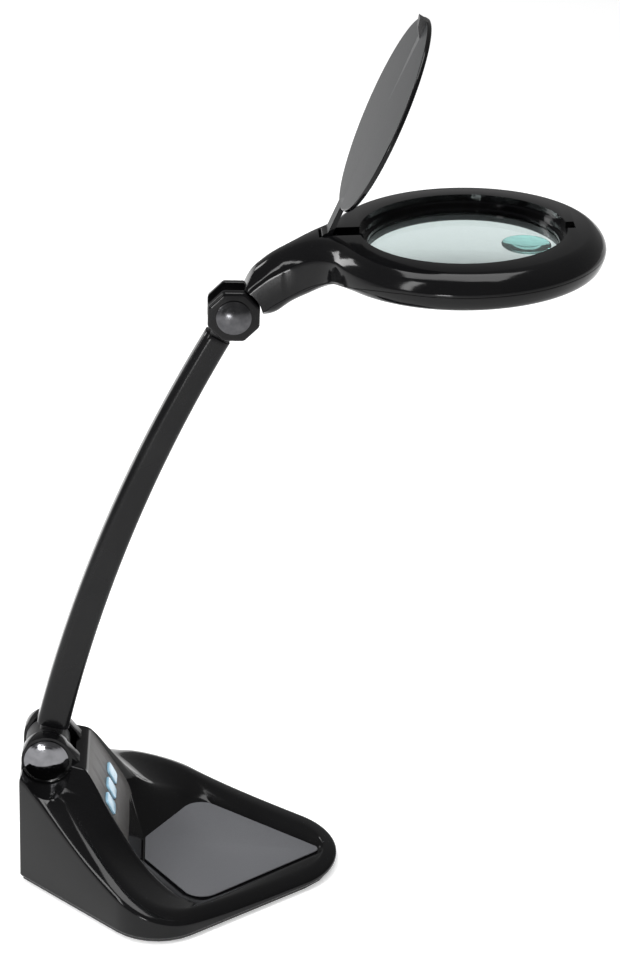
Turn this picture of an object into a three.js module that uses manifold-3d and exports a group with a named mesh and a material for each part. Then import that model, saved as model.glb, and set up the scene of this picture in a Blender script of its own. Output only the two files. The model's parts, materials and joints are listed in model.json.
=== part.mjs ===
// Desk magnifier lamp: a weighted tray base, a bowed arm, and a round lens head with a hinged lens cover.
// Millimetres, +Z up. The lamp is built with x forward from the base hinge, y across and z up, and the
// last group turns it so that its front faces -Y, with the origin at the centre of the base underside.
import * as THREE from 'three';
import { mergeVertices } from 'three/addons/utils/BufferGeometryUtils.js';
import Module from 'manifold-3d';

const wasm = await Module();
wasm.setup();

// ---- driving dimensions -------------------------------------------------------------------------

const gap = 0.3;                 // clearance between neighbouring pieces
const ringSides = 48;            // sides of the round head pieces
const plateCentre = 75;          // base plate's centre, forward of the base hinge
const footHeight = 1.2;          // rubber feet below the base plate

// base, in plan: a rounded square standing on its diagonal, cut off square at the back
const baseBack = -15;            // back face, behind the hinge axis
const baseBackHalf = 26;         // half width of the back face
const baseSideX = 60;            // side corners, before rounding
const baseSideY = 101;
const baseFrontX = 196;          // front corner, before rounding
const sideCornerRadius = 33;
const frontCornerRadius = 45;
const plateThickness = 1.8;
const plateInset = 1.6;          // shadow line around the base plate
const crestInset = 8;            // the rim's crest, in from its outer edge
const edgeLow = 6.2;             // height of the outer edge at the front
const edgeBelowHinge = 8;        // the outer edge's highest point, below the hinge axis
const edgeReach = 48;            // how far forward the high back runs out
const crestRise = 1.6;           // how far the rim swells above its outer edge
const armRise = 16;              // extra swell of the two side arms
const floorHeight = 5;           // tray floor
const panelTall = 44;            // height of the control panel, down to the fold above the tray
const foldX = 44.5;
const panelBelowHinge = 2;       // top of the control panel, below the hinge axis
const panelTopX = 22;
const panelWall = 3;
const rimWidths = [33, 38, 43];  // rim's width at the side corners: panel top, fold and floor rings
const rimFronts = [32, 34.5, 37]; // and at the front corner
const matThickness = 0.9;
const matMargin = 1.2;

// base hinge
const hingeHeight = 74;
const earRadius = 14;
const earInner = 9.4;            // half the width of the slot between the ears
const earThickness = 8.6;
const hingeBoltRadius = 4;
const hingeHeadRadius = 6.8;
const hingeHeadSink = 4.4;       // how deep the bolt heads sit in the ears
const hingeCapRadius = 10.2;
const capDome = 3.2;
const capBand = 0.8;             // straight edge of a domed cap

// arm
const hubX = 99.8;               // head hinge axis, forward of the base hinge
const hubHeight = 337;
const armBow = 11;               // how far the arm bows back from its chord
const armThickLow = 18.4;
const armThickTop = 14.2;
const armWidthLow = 15;
const armWidthTop = 12.6;
const armWall = 2.2;
const armLowStart = 15;          // tube starts this far from the base hinge axis
const armTopStop = 16.4;         // and stops this far short of the head hinge axis
const knuckleRadius = 12.4;
const eyeRadius = 9.6;
const eyeHalf = 4.4;
const washerThickness = 0.9;

// head hinge
const cheekRadius = 14.9;        // octagon corner radius of the two cheeks
const cheekThickness = 4.6;
const cheekCorner = 3;           // rounding of the octagon's corners
const hubBoltRadius = 3;
const hubHeadRadius = 5.6;
const hubHeadSink = 2.6;
const hubCapRadius = 9.3;

// head ring, lens and cover
const neckReach = 44.2;          // from the head hinge to the ring's edge
const ringRise = 48;             // top of the recess above the head hinge
const ringTilt = 2.7;            // degrees, front edge up
const lensOpening = 50.4;
const recessStep = 4;            // recess wall outside the lens opening
const ringWidth = 20.6;          // from the recess wall to the ring's edge
const seamDepth = 11;
const ringDepth = 20;
const shellWall = 2.2;
const neckHalf = 12;             // half width of the neck where it starts to flare
const neckFillet = 30;           // radius of the flare from neck to ring
const neckTaper = 0.2;           // how much narrower the neck is at the head hinge
const neckStart = 4;             // neck's end, forward of the head hinge
const lidSeatDepth = 3.6;
const lensSeat = 1.6;            // how far the lens reaches under its ledge
const lensTopDepth = 9.4;
const lensEdge = 2.6;
const lensBulge = 2.3;
const insertRadius = 13;
const insertOffset = 33;
const lidThickness = 2.6;
const lidClearance = 0.8;
const lidPivotOut = 17;          // cover's pivot, outside the recess wall
const lidOpen = 64.7;            // degrees, the angle the cover stands open
const lidPinRadius = 1.3;
const lidKnuckleRadius = 3.3;
const lidTongueHalf = 6;

// control buttons
const buttonPitch = 16.7;
const buttonWide = 12;
const buttonTall = 10.5;
const buttonProud = 1.3;
const buttonRadius = 2.4;
const flangeMargin = 1.2;        // the collar that keeps a button in the panel

// screws and feet
const screwRadius = 1.6;
const screwHeadRadius = 3.2;
const screwPlaces = [-1, 1].flatMap((side) =>
  [[baseSideX + 6, side * (baseSideY - 39)], [baseFrontX - 78, side * 24]]);
const headScrewRadius = 1.1;
const headScrewHead = 2;
const headBossRadius = 2.6;
const headScrewIn = 5.8;         // screws, in from the ring's edge
const headScrewAngles = [45, 135, 225, 315];
const footRadius = 6;
const footPlaces = {
  foot_back_left: [baseBack + 10, 12], foot_back_right: [baseBack + 10, -12],
  foot_left: [baseSideX + 2, baseSideY - 27], foot_right: [baseSideX + 2, 27 - baseSideY],
  foot_front: [baseFrontX - 50, 0],
};

// sizes that follow from those above
const recessRadius = lensOpening + recessStep;
const ringRadius = recessRadius + ringWidth;
const lensRadius = lensOpening + lensSeat;
const lidArm = recessRadius + lidPivotOut;
const ringX = hubX + neckReach + ringRadius;
const ringHeight = hubHeight + ringRise;

// ---- materials ----------------------------------------------------------------------------------

const paint = (color, roughness, metalness = 0) =>
  new THREE.MeshStandardMaterial({ color, roughness, metalness });
const blackGloss = paint(0x0b0b0d, 0.12);
const blackMatte = paint(0x161618, 0.6);
const greySatin = paint(0x6b6c70, 0.45);
const gunmetal = paint(0x4a4b4e, 0.3, 0.9);
const steel = paint(0xb8babd, 0.3, 1);
const iron = paint(0x3a3a3c, 0.7, 0.9);
const rubber = paint(0x1a1a1a, 0.9);
const clearLens = paint(0xe8f4f2, 0.02);
const frosted = paint(0xeef0f2, 0.5);
const pearl = paint(0xc4e2f0, 0.25);
const boardGreen = paint(0x1d5a36, 0.5);

// ---- helpers ------------------------------------------------------------------------------------

const radians = THREE.MathUtils.degToRad;

/** A closed three.js geometry as a solid that can be joined and cut. */
function solid(geometry) {
  const bare = geometry.clone();
  bare.deleteAttribute('normal');
  bare.deleteAttribute('uv');
  const merged = mergeVertices(bare, 1e-4);
  const corners = merged.index.array;
  const kept = [];
  for (let i = 0; i < corners.length; i += 3) {
    const [a, b, c] = corners.slice(i, i + 3);
    if (a !== b && b !== c && c !== a) kept.push(a, b, c);
  }
  return new wasm.Manifold(new wasm.Mesh({
    numProp: 3,
    vertProperties: Float32Array.from(merged.attributes.position.array),
    triVerts: Uint32Array.from(kept),
  }));
}

/** A named mesh made from a solid. */
function piece(name, body, material) {
  const data = body.getMesh();
  const geometry = new THREE.BufferGeometry();
  geometry.setAttribute('position', new THREE.BufferAttribute(data.vertProperties, 3));
  geometry.setIndex(new THREE.BufferAttribute(data.triVerts, 1));
  geometry.computeVertexNormals();
  const mesh = new THREE.Mesh(geometry, material);
  mesh.name = name;
  return mesh;
}

/** A solid skinned over closed rings of equal length; mirrored rings have ends made of cross strips. */
function loft(rings, mirrored = false) {
  const count = rings[0].length;
  const points = rings.flat();
  const faces = [];
  for (let r = 0; r + 1 < rings.length; r++) {
    for (let i = 0; i < count; i++) {
      const a = r * count + i;
      const b = r * count + (i + 1) % count;
      faces.push(a, b, b + count, a, b + count, a + count);
    }
  }
  const strips = [];
  for (let i = 0; 2 * i + 2 < count; i++) {
    strips.push([i, i + 1, count - 1 - i], [i + 1, count - 2 - i, count - 1 - i]);
  }
  const cap = (offset, flip) => {
    const flat = points.slice(offset, offset + count).map((p) => new THREE.Vector2(p.x, p.y));
    for (const [a, b, c] of mirrored ? strips : THREE.ShapeUtils.triangulateShape(flat, [])) {
      faces.push(offset + a, offset + (flip ? c : b), offset + (flip ? b : c));
    }
  };
  cap(0, true);
  cap(points.length - count, false);
  const geometry = new THREE.BufferGeometry().setFromPoints(points);
  geometry.setIndex(faces);
  return solid(geometry);
}

/** A solid of revolution about z from [radius, z] pairs that close on themselves or end on the axis. */
function turned(profile, segments = ringSides) {
  const outline = profile.map(([r, z]) => new THREE.Vector2(r, z));
  if (THREE.ShapeUtils.isClockWise(outline)) outline.reverse();
  if (profile[0][0] > 0) outline.push(outline[0].clone());
  const geometry = new THREE.LatheGeometry(outline, segments);
  geometry.rotateX(Math.PI / 2);
  return solid(geometry);
}

/** A side outline of [x, z] pairs, pushed across from y = from to y = to. */
function sideways(outline, from, to) {
  const shape = new THREE.Shape(outline.map(([x, z]) => new THREE.Vector2(x, z)));
  const geometry = new THREE.ExtrudeGeometry(shape, { depth: to - from, bevelEnabled: false });
  geometry.rotateX(Math.PI / 2);
  geometry.translate(0, to, 0);
  return solid(geometry);
}

/** A plan outline of points, pushed up from z = from to z = to. */
function upward(outline, from, to) {
  const shape = new THREE.Shape(outline.map((p) => new THREE.Vector2(p.x, p.y)));
  const geometry = new THREE.ExtrudeGeometry(shape, { depth: to - from, bevelEnabled: false });
  geometry.translate(0, 0, from);
  return solid(geometry);
}

/** A round bar across the lamp. */
function crossBar(x, z, radius, from, to, segments = 24) {
  const geometry = new THREE.CylinderGeometry(radius, radius, to - from, segments);
  geometry.translate(x, (from + to) / 2, z);
  return solid(geometry);
}

/** Where a piece starts and ends across the lamp, on one side, from its two distances off the middle. */
const span = (side, near, far) => (side > 0 ? [near, far] : [-far, -near]);

/** A round upright bar. */
function post(x, y, radius, from, to, segments = 16) {
  const geometry = new THREE.CylinderGeometry(radius, radius, to - from, segments);
  geometry.rotateX(Math.PI / 2);
  geometry.translate(x, y, (from + to) / 2);
  return solid(geometry);
}

/** An upright box between two corners. */
function block(x0, x1, y0, y1, z0, z1) {
  const geometry = new THREE.BoxGeometry(x1 - x0, y1 - y0, z1 - z0);
  geometry.translate((x0 + x1) / 2, (y0 + y1) / 2, (z0 + z1) / 2);
  return solid(geometry);
}

/** A polygon with rounded corners and split edges; each corner is [x, y, radius]. */
function roundedPolygon(corners, arcSteps, edgeSteps) {
  const points = [];
  const arcs = corners.map(([x, y, radius], i) => {
    const here = new THREE.Vector2(x, y);
    const near = (k) => new THREE.Vector2(corners[k][0], corners[k][1]).sub(here).normalize();
    const back = near((i + corners.length - 1) % corners.length);
    const ahead = near((i + 1) % corners.length);
    const half = Math.acos(back.dot(ahead)) / 2;
    const centre = back.clone().add(ahead).normalize().multiplyScalar(radius / Math.sin(half)).add(here);
    const start = back.multiplyScalar(radius / Math.tan(half)).add(here).sub(centre);
    const sweep = Math.PI - 2 * half;
    return Array.from({ length: arcSteps + 1 }, (_, k) =>
      start.clone().rotateAround(new THREE.Vector2(), sweep * k / arcSteps).add(centre));
  });
  arcs.forEach((arc, i) => {
    points.push(...arc);
    const next = arcs[(i + 1) % arcs.length][0];
    for (let k = 1; k < edgeSteps; k++) points.push(arc[arcSteps].clone().lerp(next, k / edgeSteps));
  });
  return points;
}

/** A ring of the base: symmetric plan corners and a height that may change from back to front. */
function baseRing({ back, backHalf, backRadius, sideX, sideY, sideRadius, front, frontRadius }, height) {
  const plan = roundedPolygon([
    [back, -backHalf, backRadius],
    [sideX, -sideY, sideRadius],
    [front, 0, frontRadius],
    [sideX, sideY, sideRadius],
    [back, backHalf, backRadius],
  ], 7, 5);
  return plan.map((p) => new THREE.Vector3(p.x, p.y, height(p.x)));
}

/** A smooth fall from 1 to 0 as x passes from start forward over a reach. */
const falling = (x, start, reach, power) => Math.exp(-(Math.max(0, (x - start) / reach) ** power));

// ---- base ---------------------------------------------------------------------------------------

const plateTop = footHeight + plateThickness;
const shellBottom = plateTop + gap;
const outline = {
  back: baseBack, backHalf: baseBackHalf, backRadius: 2, sideX: baseSideX, sideY: baseSideY,
  sideRadius: sideCornerRadius, front: baseFrontX, frontRadius: frontCornerRadius,
};
const inset = (plan, d) => ({
  ...plan,
  back: plan.back + d,
  backHalf: plan.backHalf - 0.42 * d,
  sideY: plan.sideY - 1.36 * d,
  sideRadius: plan.sideRadius - d,
  front: plan.front - 1.68 * d,
  frontRadius: plan.frontRadius - d,
});
const edgeHigh = hingeHeight - edgeBelowHinge;
const panelTopHeight = hingeHeight - panelBelowHinge;
const foldHeight = panelTopHeight - panelTall;
const edgeAt = (x) => edgeLow + (edgeHigh - edgeLow) * falling(x, baseBack, edgeReach, 1.35);
const crestAt = (x) => edgeAt(x) + crestRise + armRise * falling(x, baseBack + 7, 45, 1.6);
const panelTop = {
  back: panelTopX, backHalf: 24, backRadius: 4, sideX: baseSideX + 18, sideY: baseSideY - rimWidths[0],
  sideRadius: 22, front: baseFrontX - rimFronts[0], frontRadius: 8,
};
const panelTopAt = (x) => edgeLow + 0.6
  + (panelTopHeight - edgeLow - 0.6) * falling(x, panelTopX, 25, 1.35);
const fold = {
  back: foldX, backHalf: 36, backRadius: 4, sideX: baseSideX + 21, sideY: baseSideY - rimWidths[1],
  sideRadius: 18, front: baseFrontX - rimFronts[1], frontRadius: 6.5,
};
const foldAt = (x) => floorHeight + 1.2 + (foldHeight - floorHeight - 1.2) * falling(x, foldX, 22, 1.6);
const floorPlan = {
  back: foldX + 9.5, backHalf: 12, backRadius: 4, sideX: baseSideX + 25, sideY: baseSideY - rimWidths[2],
  sideRadius: 13, front: baseFrontX - rimFronts[2], frontRadius: 5,
};
const planPoints = (plan) => baseRing(plan, () => 0);

// the control panel is a plane from the fold up to its top edge
const panelRun = panelTopX - foldX;
const panelRise = panelTopHeight - foldHeight;
const panelSlope = Math.atan2(panelRise, -panelRun);          // from the horizontal
const buttonAlong = 0.396;                                    // buttons' place up the panel
const buttonX = foldX + panelRun * buttonAlong;
const buttonZ = foldHeight + panelRise * buttonAlong;

/** A box in the control panel's own frame: across, up the slope, and outward from the surface. */
function panelBlock(y, wide, tall, inner, outer, radius) {
  const plan = roundedPolygon([
    [-tall / 2, -wide / 2, radius],
    [tall / 2, -wide / 2, radius],
    [tall / 2, wide / 2, radius],
    [-tall / 2, wide / 2, radius],
  ], 4, 1);
  return upward(plan, inner, outer)
    .rotate([0, THREE.MathUtils.radToDeg(panelSlope), 0])
    .translate([buttonX, y, buttonZ]);
}

const buttonPlaces = [-buttonPitch, 0, buttonPitch];
const cavityBack = baseBack + 4;
const cavityHalf = 24.6;
const cavityTop = hingeHeight - earRadius - gap - 8;
const dcHeight = 14;
const boltEnd = earInner + earThickness;

function baseShell() {
  let body = loft([
    baseRing(outline, () => shellBottom),
    baseRing(outline, edgeAt),
    baseRing(inset(outline, crestInset), crestAt),
    baseRing(panelTop, panelTopAt),
    baseRing(fold, foldAt),
    baseRing(floorPlan, () => floorHeight),
  ]);
  const earArc = Array.from({ length: 19 }, (_, i) => {
    const angle = Math.PI - (Math.PI - 0.6) * i / 18;
    return [earRadius * Math.cos(angle), hingeHeight + earRadius * Math.sin(angle)];
  });
  const earFoot = panelTopHeight - 10;
  const earFront = panelTopX - 1.5;
  const ear = [...earArc, [earFront, panelTopHeight - 2], [earFront, earFoot], [-earRadius, earFoot]];
  for (const side of [-1, 1]) {
    body = body.add(sideways(ear.toReversed(), ...span(side, earInner - 1, boltEnd)));
  }
  const slotFloor = hingeHeight - earRadius - 0.8;
  body = body.subtract(block(baseBack - 5, panelTopX - 6, -earInner, earInner, slotFloor, 120));
  body = body.subtract(crossBar(0, hingeHeight, hingeBoltRadius + gap, -boltEnd - 9, boltEnd + 9));
  for (const side of [-1, 1]) {
    body = body.subtract(crossBar(0, hingeHeight, hingeHeadRadius + gap,
      ...span(side, boltEnd - hingeHeadSink, boltEnd + 20)));
    body = body.subtract(crossBar(0, hingeHeight, earRadius + gap, ...span(side, boltEnd, boltEnd + 20), 36));
  }
  const lift = panelWall / Math.sin(panelSlope);
  const cavity = [
    [cavityBack, shellBottom - 1], [foldX + 1, shellBottom - 1], [foldX + 1 - lift, foldHeight - 6],
    [foldX - lift, foldHeight], [foldX + panelRun * (cavityTop - foldHeight) / panelRise - lift, cavityTop],
    [cavityBack, cavityTop],
  ];
  body = body.subtract(sideways(cavity, -cavityHalf, cavityHalf));
  for (const y of buttonPlaces) {
    body = body.subtract(panelBlock(y, buttonWide + 2 * gap, buttonTall + 2 * gap, -9, 6,
      buttonRadius + gap));
  }
  body = body.subtract(solid(new THREE.CylinderGeometry(5.2, 5.2, 12, 32)
    .rotateZ(Math.PI / 2).translate(baseBack, 0, dcHeight)));
  for (const [x, y] of screwPlaces) {
    body = body.subtract(post(x, y, screwRadius + gap, shellBottom - 1, edgeLow - 2));
  }
  return body;
}

function basePlate() {
  let body = upward(planPoints(inset(outline, plateInset)), footHeight, plateTop);
  for (const [x, y] of screwPlaces) {
    body = body.subtract(post(x, y, screwRadius + gap, 0, 9));
    body = body.subtract(post(x, y, screwHeadRadius + gap, 0, plateTop - 0.8));
  }
  return body;
}

function baseScrew([x, y]) {
  return post(x, y, screwHeadRadius, footHeight, plateTop - 0.8 - gap)
    .add(post(x, y, screwRadius, footHeight, edgeLow - 2 - gap, 16));
}

function dcInlet() {
  const barrel = [[0, 0], [5, 0], [5, 11], [2.9, 11], [2.9, 1.5], [0, 1.5]];
  return turned(barrel, 32).rotate([0, -90, 0]).translate([baseBack + 11.4, 0, dcHeight]);
}

const base = new THREE.Group();
base.add(piece('base_shell', baseShell(), blackGloss));
base.add(piece('base_plate', basePlate(), blackMatte));
base.add(piece('ballast_block', block(cavityBack + 13, foldX - 12, -18, 18, shellBottom, foldHeight - 4), iron));
base.add(piece('tray_mat', upward(
  planPoints(inset({ ...floorPlan, backRadius: 5 }, matMargin)),
  floorHeight + gap, floorHeight + gap + matThickness), greySatin));
screwPlaces.forEach((place, i) => base.add(piece(`base_screw_${i + 1}`, baseScrew(place), steel)));
for (const [name, [x, y]] of Object.entries(footPlaces)) {
  base.add(piece(name, post(x, y, footRadius, 0, footHeight - gap / 3, 28), rubber));
}
const boardInner = -panelWall - 4.6;
base.add(piece('control_board', panelBlock(0, 38, 16, boardInner - 1.6, boardInner, 1), boardGreen));
base.add(piece('dc_inlet', dcInlet(), blackMatte));

const buttonNames = ['button_right', 'button_middle', 'button_left'];
buttonPlaces.forEach((y, i) => {
  const cap = panelBlock(y, buttonWide, buttonTall, -panelWall - 2 * gap, buttonProud, buttonRadius);
  const flange = panelBlock(y, buttonWide + 2 * flangeMargin, buttonTall + 2 * flangeMargin,
    -panelWall - 1.6, -panelWall - 0.5, buttonRadius + gap);
  base.add(piece(buttonNames[i], cap.add(flange), pearl));
});

/** Bolt, nut, two washers and two domed caps for a hinge across the lamp. */
function hingeSet(prefix, { x, z, bolt, head, cap, inner, outer, sink }) {
  const seat = outer - sink;
  const washerFrom = inner - gap - washerThickness;
  const shaft = crossBar(x, z, bolt, -outer + 0.6, seat + 2.2);
  const headBar = crossBar(x, z, head, -outer + 0.6, -seat - gap);
  const nut = crossBar(x, z, head, seat + gap, outer - 0.6, 6)
    .subtract(crossBar(x, z, bolt + gap, seat - 5, outer + 5));
  const set = [
    piece(`${prefix}_bolt`, shaft.add(headBar), steel),
    piece(`${prefix}_nut`, nut, steel),
  ];
  const domeSteps = 5;
  const dome = Array.from({ length: domeSteps + 1 }, (_, i) => {
    const angle = Math.PI / 2 * i / domeSteps;
    return [cap * Math.cos(angle), capBand + (capDome - capBand) * Math.sin(angle)];
  });
  dome[domeSteps][0] = 0;
  for (const [side, name] of [[-1, 'right'], [1, 'left']]) {
    const washer = crossBar(x, z, head, ...span(side, washerFrom, washerFrom + washerThickness))
      .subtract(crossBar(x, z, bolt + gap, -99, 99));
    const lid = turned([[0, 0], [cap, 0], ...dome], 28)
      .rotate([-90 * side, 0, 0]).translate([x, side * (outer + gap), z]);
    set.push(piece(`${prefix}_washer_${name}`, washer, blackMatte));
    set.push(piece(`${prefix}_cap_${name}`, lid, gunmetal));
  }
  return set;
}

base.add(...hingeSet('base_hinge', {
  x: 0, z: hingeHeight, bolt: hingeBoltRadius, head: hingeHeadRadius, cap: hingeCapRadius,
  inner: earInner, outer: boltEnd, sink: hingeHeadSink,
}));

// ---- arm ----------------------------------------------------------------------------------------

const chord = new THREE.Vector2(hubX, hubHeight - hingeHeight);
const armArcRadius = (chord.length() ** 2 / 4 + armBow ** 2) / (2 * armBow);
const armHalfAngle = Math.asin(chord.length() / 2 / armArcRadius);
const chordAngle = Math.atan2(chord.y, chord.x);
const armCentre = chord.clone().multiplyScalar(0.5).add(new THREE.Vector2(
  Math.sin(chordAngle), -Math.cos(chordAngle)).multiplyScalar(armArcRadius - armBow));

/** Place and direction along the arm's bow; t is 0 at the base hinge and 1 at the head hinge. */
function alongArm(t) {
  const angle = chordAngle + Math.PI / 2 + armHalfAngle * (1 - 2 * t);
  return {
    x: armCentre.x + armArcRadius * Math.cos(angle),
    z: hingeHeight + armCentre.y + armArcRadius * Math.sin(angle),
    ahead: new THREE.Vector2(Math.sin(angle), -Math.cos(angle)),
  };
}

const armLength = 2 * armHalfAngle * armArcRadius;
const armSteps = 12;
const armRing = (t, grow) => {
  const { x, z, ahead } = alongArm(t);
  const thick = armThickLow + (armThickTop - armThickLow) * t + 2 * grow;
  const wide = armWidthLow + (armWidthTop - armWidthLow) * t + 2 * grow;
  const corner = Math.max(0.8, 4.2 + grow);
  return roundedPolygon([
    [-thick / 2, -wide / 2, corner], [thick / 2, -wide / 2, corner],
    [thick / 2, wide / 2, corner], [-thick / 2, wide / 2, corner],
  ], 3, 1).map((p) => new THREE.Vector3(x + p.x * ahead.y, p.y, z - p.x * ahead.x));
};

/** A stretch of the arm's section between two distances from the base hinge. */
function armStretch(from, to, grow, steps) {
  const rings = Array.from({ length: steps + 1 }, (_, i) =>
    armRing((from + (to - from) * i / steps) / armLength, grow));
  return loft(rings);
}

const armEnd = armLength - armTopStop;
const knuckleHalf = earInner - 2 * gap - washerThickness;
const arm = new THREE.Group();
arm.add(piece('arm_tube', armStretch(armLowStart, armEnd, 0, armSteps)
  .subtract(armStretch(armLowStart - 2, armEnd + 2, -armWall, armSteps)), blackGloss));
const stub = armWall + gap;
arm.add(piece('arm_knuckle', crossBar(0, hingeHeight, knuckleRadius, -knuckleHalf, knuckleHalf, 36)
  .add(armStretch(6, armLowStart + 16, -stub, 2))
  .subtract(crossBar(0, hingeHeight, hingeBoltRadius + gap, -50, 50)), blackMatte));
arm.add(piece('arm_eye', crossBar(hubX, hubHeight, eyeRadius, -eyeHalf, eyeHalf, 32)
  .add(armStretch(armEnd - 16, armLength - 6, -stub, 2).intersect(
    block(-200, 400, -eyeHalf, eyeHalf, 0, 600)))
  .subtract(crossBar(hubX, hubHeight, hubBoltRadius + gap, -50, 50)), blackMatte));

// ---- head: everything below is placed from the ring centre ---------------------------------------

const head = new THREE.Group();
head.position.set(ringX, 0, ringHeight);
head.rotation.y = -radians(ringTilt);
const tilt = radians(ringTilt);
const toHead = (x, z) => {
  const dx = x - ringX;
  const dz = z - ringHeight;
  return [dx * Math.cos(tilt) + dz * Math.sin(tilt), dz * Math.cos(tilt) - dx * Math.sin(tilt)];
};
const [hubLocalX, hubLocalZ] = toHead(hubX, hubHeight);
const pivotX = -lidArm;
const pivotZ = -lidSeatDepth + gap + lidThickness / 2;

// heights along the head, forward of the head hinge: crown of the neck, seam and underside
const crownLine = [[3, -26], [7, -21.8], [12, -17.6], [20, -11.7], [30, -6.5], [41, -2], [50, -0.2], [58, 0]];
const seamLine = [[3, -33], [9, -38], [15, -40], [20, -36.5], [30, -30.6], [40, -24.6], [50, -19.5],
  [60, -15.5], [72, -12.4], [85, -seamDepth]];
const underLine = [[3, -36], [9, -41], [15, -43], [22, -41.5], [30, -36], [40, -30.2], [47, -25.6],
  [54, -21.6], [62, -ringDepth]];

/** A smooth height line through [distance from the head hinge, height] pairs. */
function heightLine(pairs) {
  const curve = new THREE.CubicInterpolant(pairs.map(([x]) => x), pairs.map(([, z]) => z), 1);
  return (x) => curve.evaluate(THREE.MathUtils.clamp(x - hubLocalX, pairs[0][0], pairs.at(-1)[0]))[0];
}

const crown = heightLine(crownLine);
const seam = heightLine(seamLine);
const under = heightLine(underLine);

/** The head's outline in plan, pulled in by an inset: the neck flares into the ring on both sides. */
function headOutline(pull) {
  const end = hubLocalX + neckStart + pull;
  const corner = Math.max(0.5, 4 - pull);
  const side = neckHalf - pull;
  const flareX = -Math.sqrt((ringRadius + neckFillet) ** 2 - (neckHalf + neckFillet) ** 2);
  const flareY = -neckHalf - neckFillet;
  const meet = Math.atan2(-flareY, -flareX);
  const arc = (x, y, radius, from, to, steps) => Array.from({ length: steps + 1 }, (_, k) => {
    const angle = from + (to - from) * k / steps;
    return [x + radius * Math.cos(angle), y + radius * Math.sin(angle)];
  });
  const half = [
    ...arc(end + corner, corner - side, corner, Math.PI, 1.5 * Math.PI, 3),
    ...[1, 2, 3].map((k) => [end + corner + (flareX - end - corner) * k / 4, -side]),
    ...arc(flareX, flareY, neckFillet + pull, Math.PI / 2, meet, 6),
    ...arc(0, 0, ringRadius - pull, meet - Math.PI, 0, 20).slice(1),
  ];
  const taper = (x) => 1 - neckTaper * THREE.MathUtils.clamp((flareX - x) / (flareX - end), 0, 1);
  const near = half.map(([x, y]) => [x, y * taper(x)]);
  return [...near, ...near.slice(0, -1).reverse().map(([x, y]) => [x, -y])];
}

// the head's section from its underside round to its crown: inset, then height at a place along x
const headSection = [
  [7.5, (x) => under(x)],
  [4.8, (x) => under(x) + 0.4],
  [2, (x) => under(x) + 2.4],
  [0, (x) => seam(x)],
  [0.6, (x) => Math.max(seam(x) + 0.5, crown(x) - 8.2)],
  [2.2, (x) => crown(x) - 5],
  [5.2, (x) => crown(x) - 2],
  [7, (x) => crown(x) - 0.8],
  [9, (x) => crown(x)],
];

/** The whole head, ring and neck, as one closed body, with every face pulled in by the same amount. */
function headBlank(pull) {
  const last = headSection.length - 1;
  return loft(headSection.map(([inset, height], k) => {
    const lift = pull * (k < 3 ? 1 : 0) - pull * (k === last || k === last - 1 ? 1 : 0);
    const squeeze = k > 3 && k < last - 1 ? pull * 0.6 : 0;
    return headOutline(Math.min(inset + pull, neckHalf - 1))
      .map(([x, y]) => new THREE.Vector3(x, y, height(x) + lift - squeeze));
  }), true);
}

/** Everything above or below the seam, moved down by an offset. */
function seamSide(towards, offset) {
  const [from, to] = [hubLocalX - 15, ringRadius + 15];
  const line = Array.from({ length: 91 }, (_, i) => {
    const x = from + (to - from) * i / 90;
    return [x, seam(x) - offset];
  });
  const far = towards > 0 ? 60 : -90;
  const ends = [[line.at(-1)[0], far], [line[0][0], far]];
  return sideways(towards > 0 ? [...line, ...ends] : [...line, ...ends].reverse(), -to, to);
}

const hubClear = () => crossBar(hubLocalX, hubLocalZ, cheekRadius + gap, -40, 40, 48);
const lensWell = () => post(0, 0, recessRadius, -60, 40, ringSides);
const headHollow = headBlank(shellWall);

const collarProfile = [
  [recessRadius, -1], [recessRadius, -lidSeatDepth], [recessRadius - 0.5, -lidSeatDepth],
  [recessRadius - 2, -lidSeatDepth - 0.4], [lensOpening + 1.8, -lensTopDepth + 2.4],
  [lensOpening, -lensTopDepth + 1.9], [lensOpening, -lensTopDepth + gap],
  [recessRadius + 2.6, -lensTopDepth + gap], [recessRadius + 2.6, -1],
];
const headScrewPlaces = headScrewAngles.map((a) =>
  [(ringRadius - headScrewIn) * Math.cos(radians(a)), (ringRadius - headScrewIn) * Math.sin(radians(a))]);

function headUpperShell() {
  const blank = headBlank(0);
  const bossHalf = lidTongueHalf + 4;
  const core = headBlank(0.6);
  const boss = block(pivotX - 7, -recessRadius - 1, -bossHalf, bossHalf, -9, 0).intersect(core);
  let body = blank.subtract(headHollow).add(boss).intersect(seamSide(1, 0)).subtract(lensWell());
  body = body.add(turned(collarProfile));
  const slot = lidTongueHalf + gap * 1.5;
  body = body.subtract(block(pivotX - lidKnuckleRadius - 1, -recessRadius + 3, -slot, slot, -7.4, 20));
  body = body.subtract(crossBar(pivotX, pivotZ, lidPinRadius + gap, -bossHalf - 2, bossHalf - 1.6));
  body = body.subtract(block(recessRadius - 6, recessRadius + 4, -5, 5, -lidSeatDepth, 10));
  for (const [x, y] of headScrewPlaces) {
    body = body.add(post(x, y, headBossRadius, -seamDepth + 0.5, 0).intersect(core)
      .subtract(post(x, y, headScrewRadius + gap, -seamDepth - 1, -6, 12)));
  }
  return body.subtract(hubClear());
}

const diffuserInner = recessRadius + 2.2;
const diffuserOuter = ringRadius - 9.4;
const diffuserTop = -ringDepth + 1.8;

function headLowerShell() {
  let body = headBlank(0).subtract(headHollow).intersect(seamSide(-1, gap))
    .subtract(post(0, 0, diffuserOuter + gap, -90, 40, ringSides));
  for (const [x, y] of headScrewPlaces) {
    body = body.add(post(x, y, headBossRadius, -17.9, -seamDepth - gap));
  }
  for (const [x, y] of headScrewPlaces) {
    body = body.subtract(post(x, y, headScrewRadius + gap, -40, 0, 12));
    body = body.subtract(post(x, y, headScrewHead + gap, -40, -16.4));
  }
  return body.subtract(hubClear());
}

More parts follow.
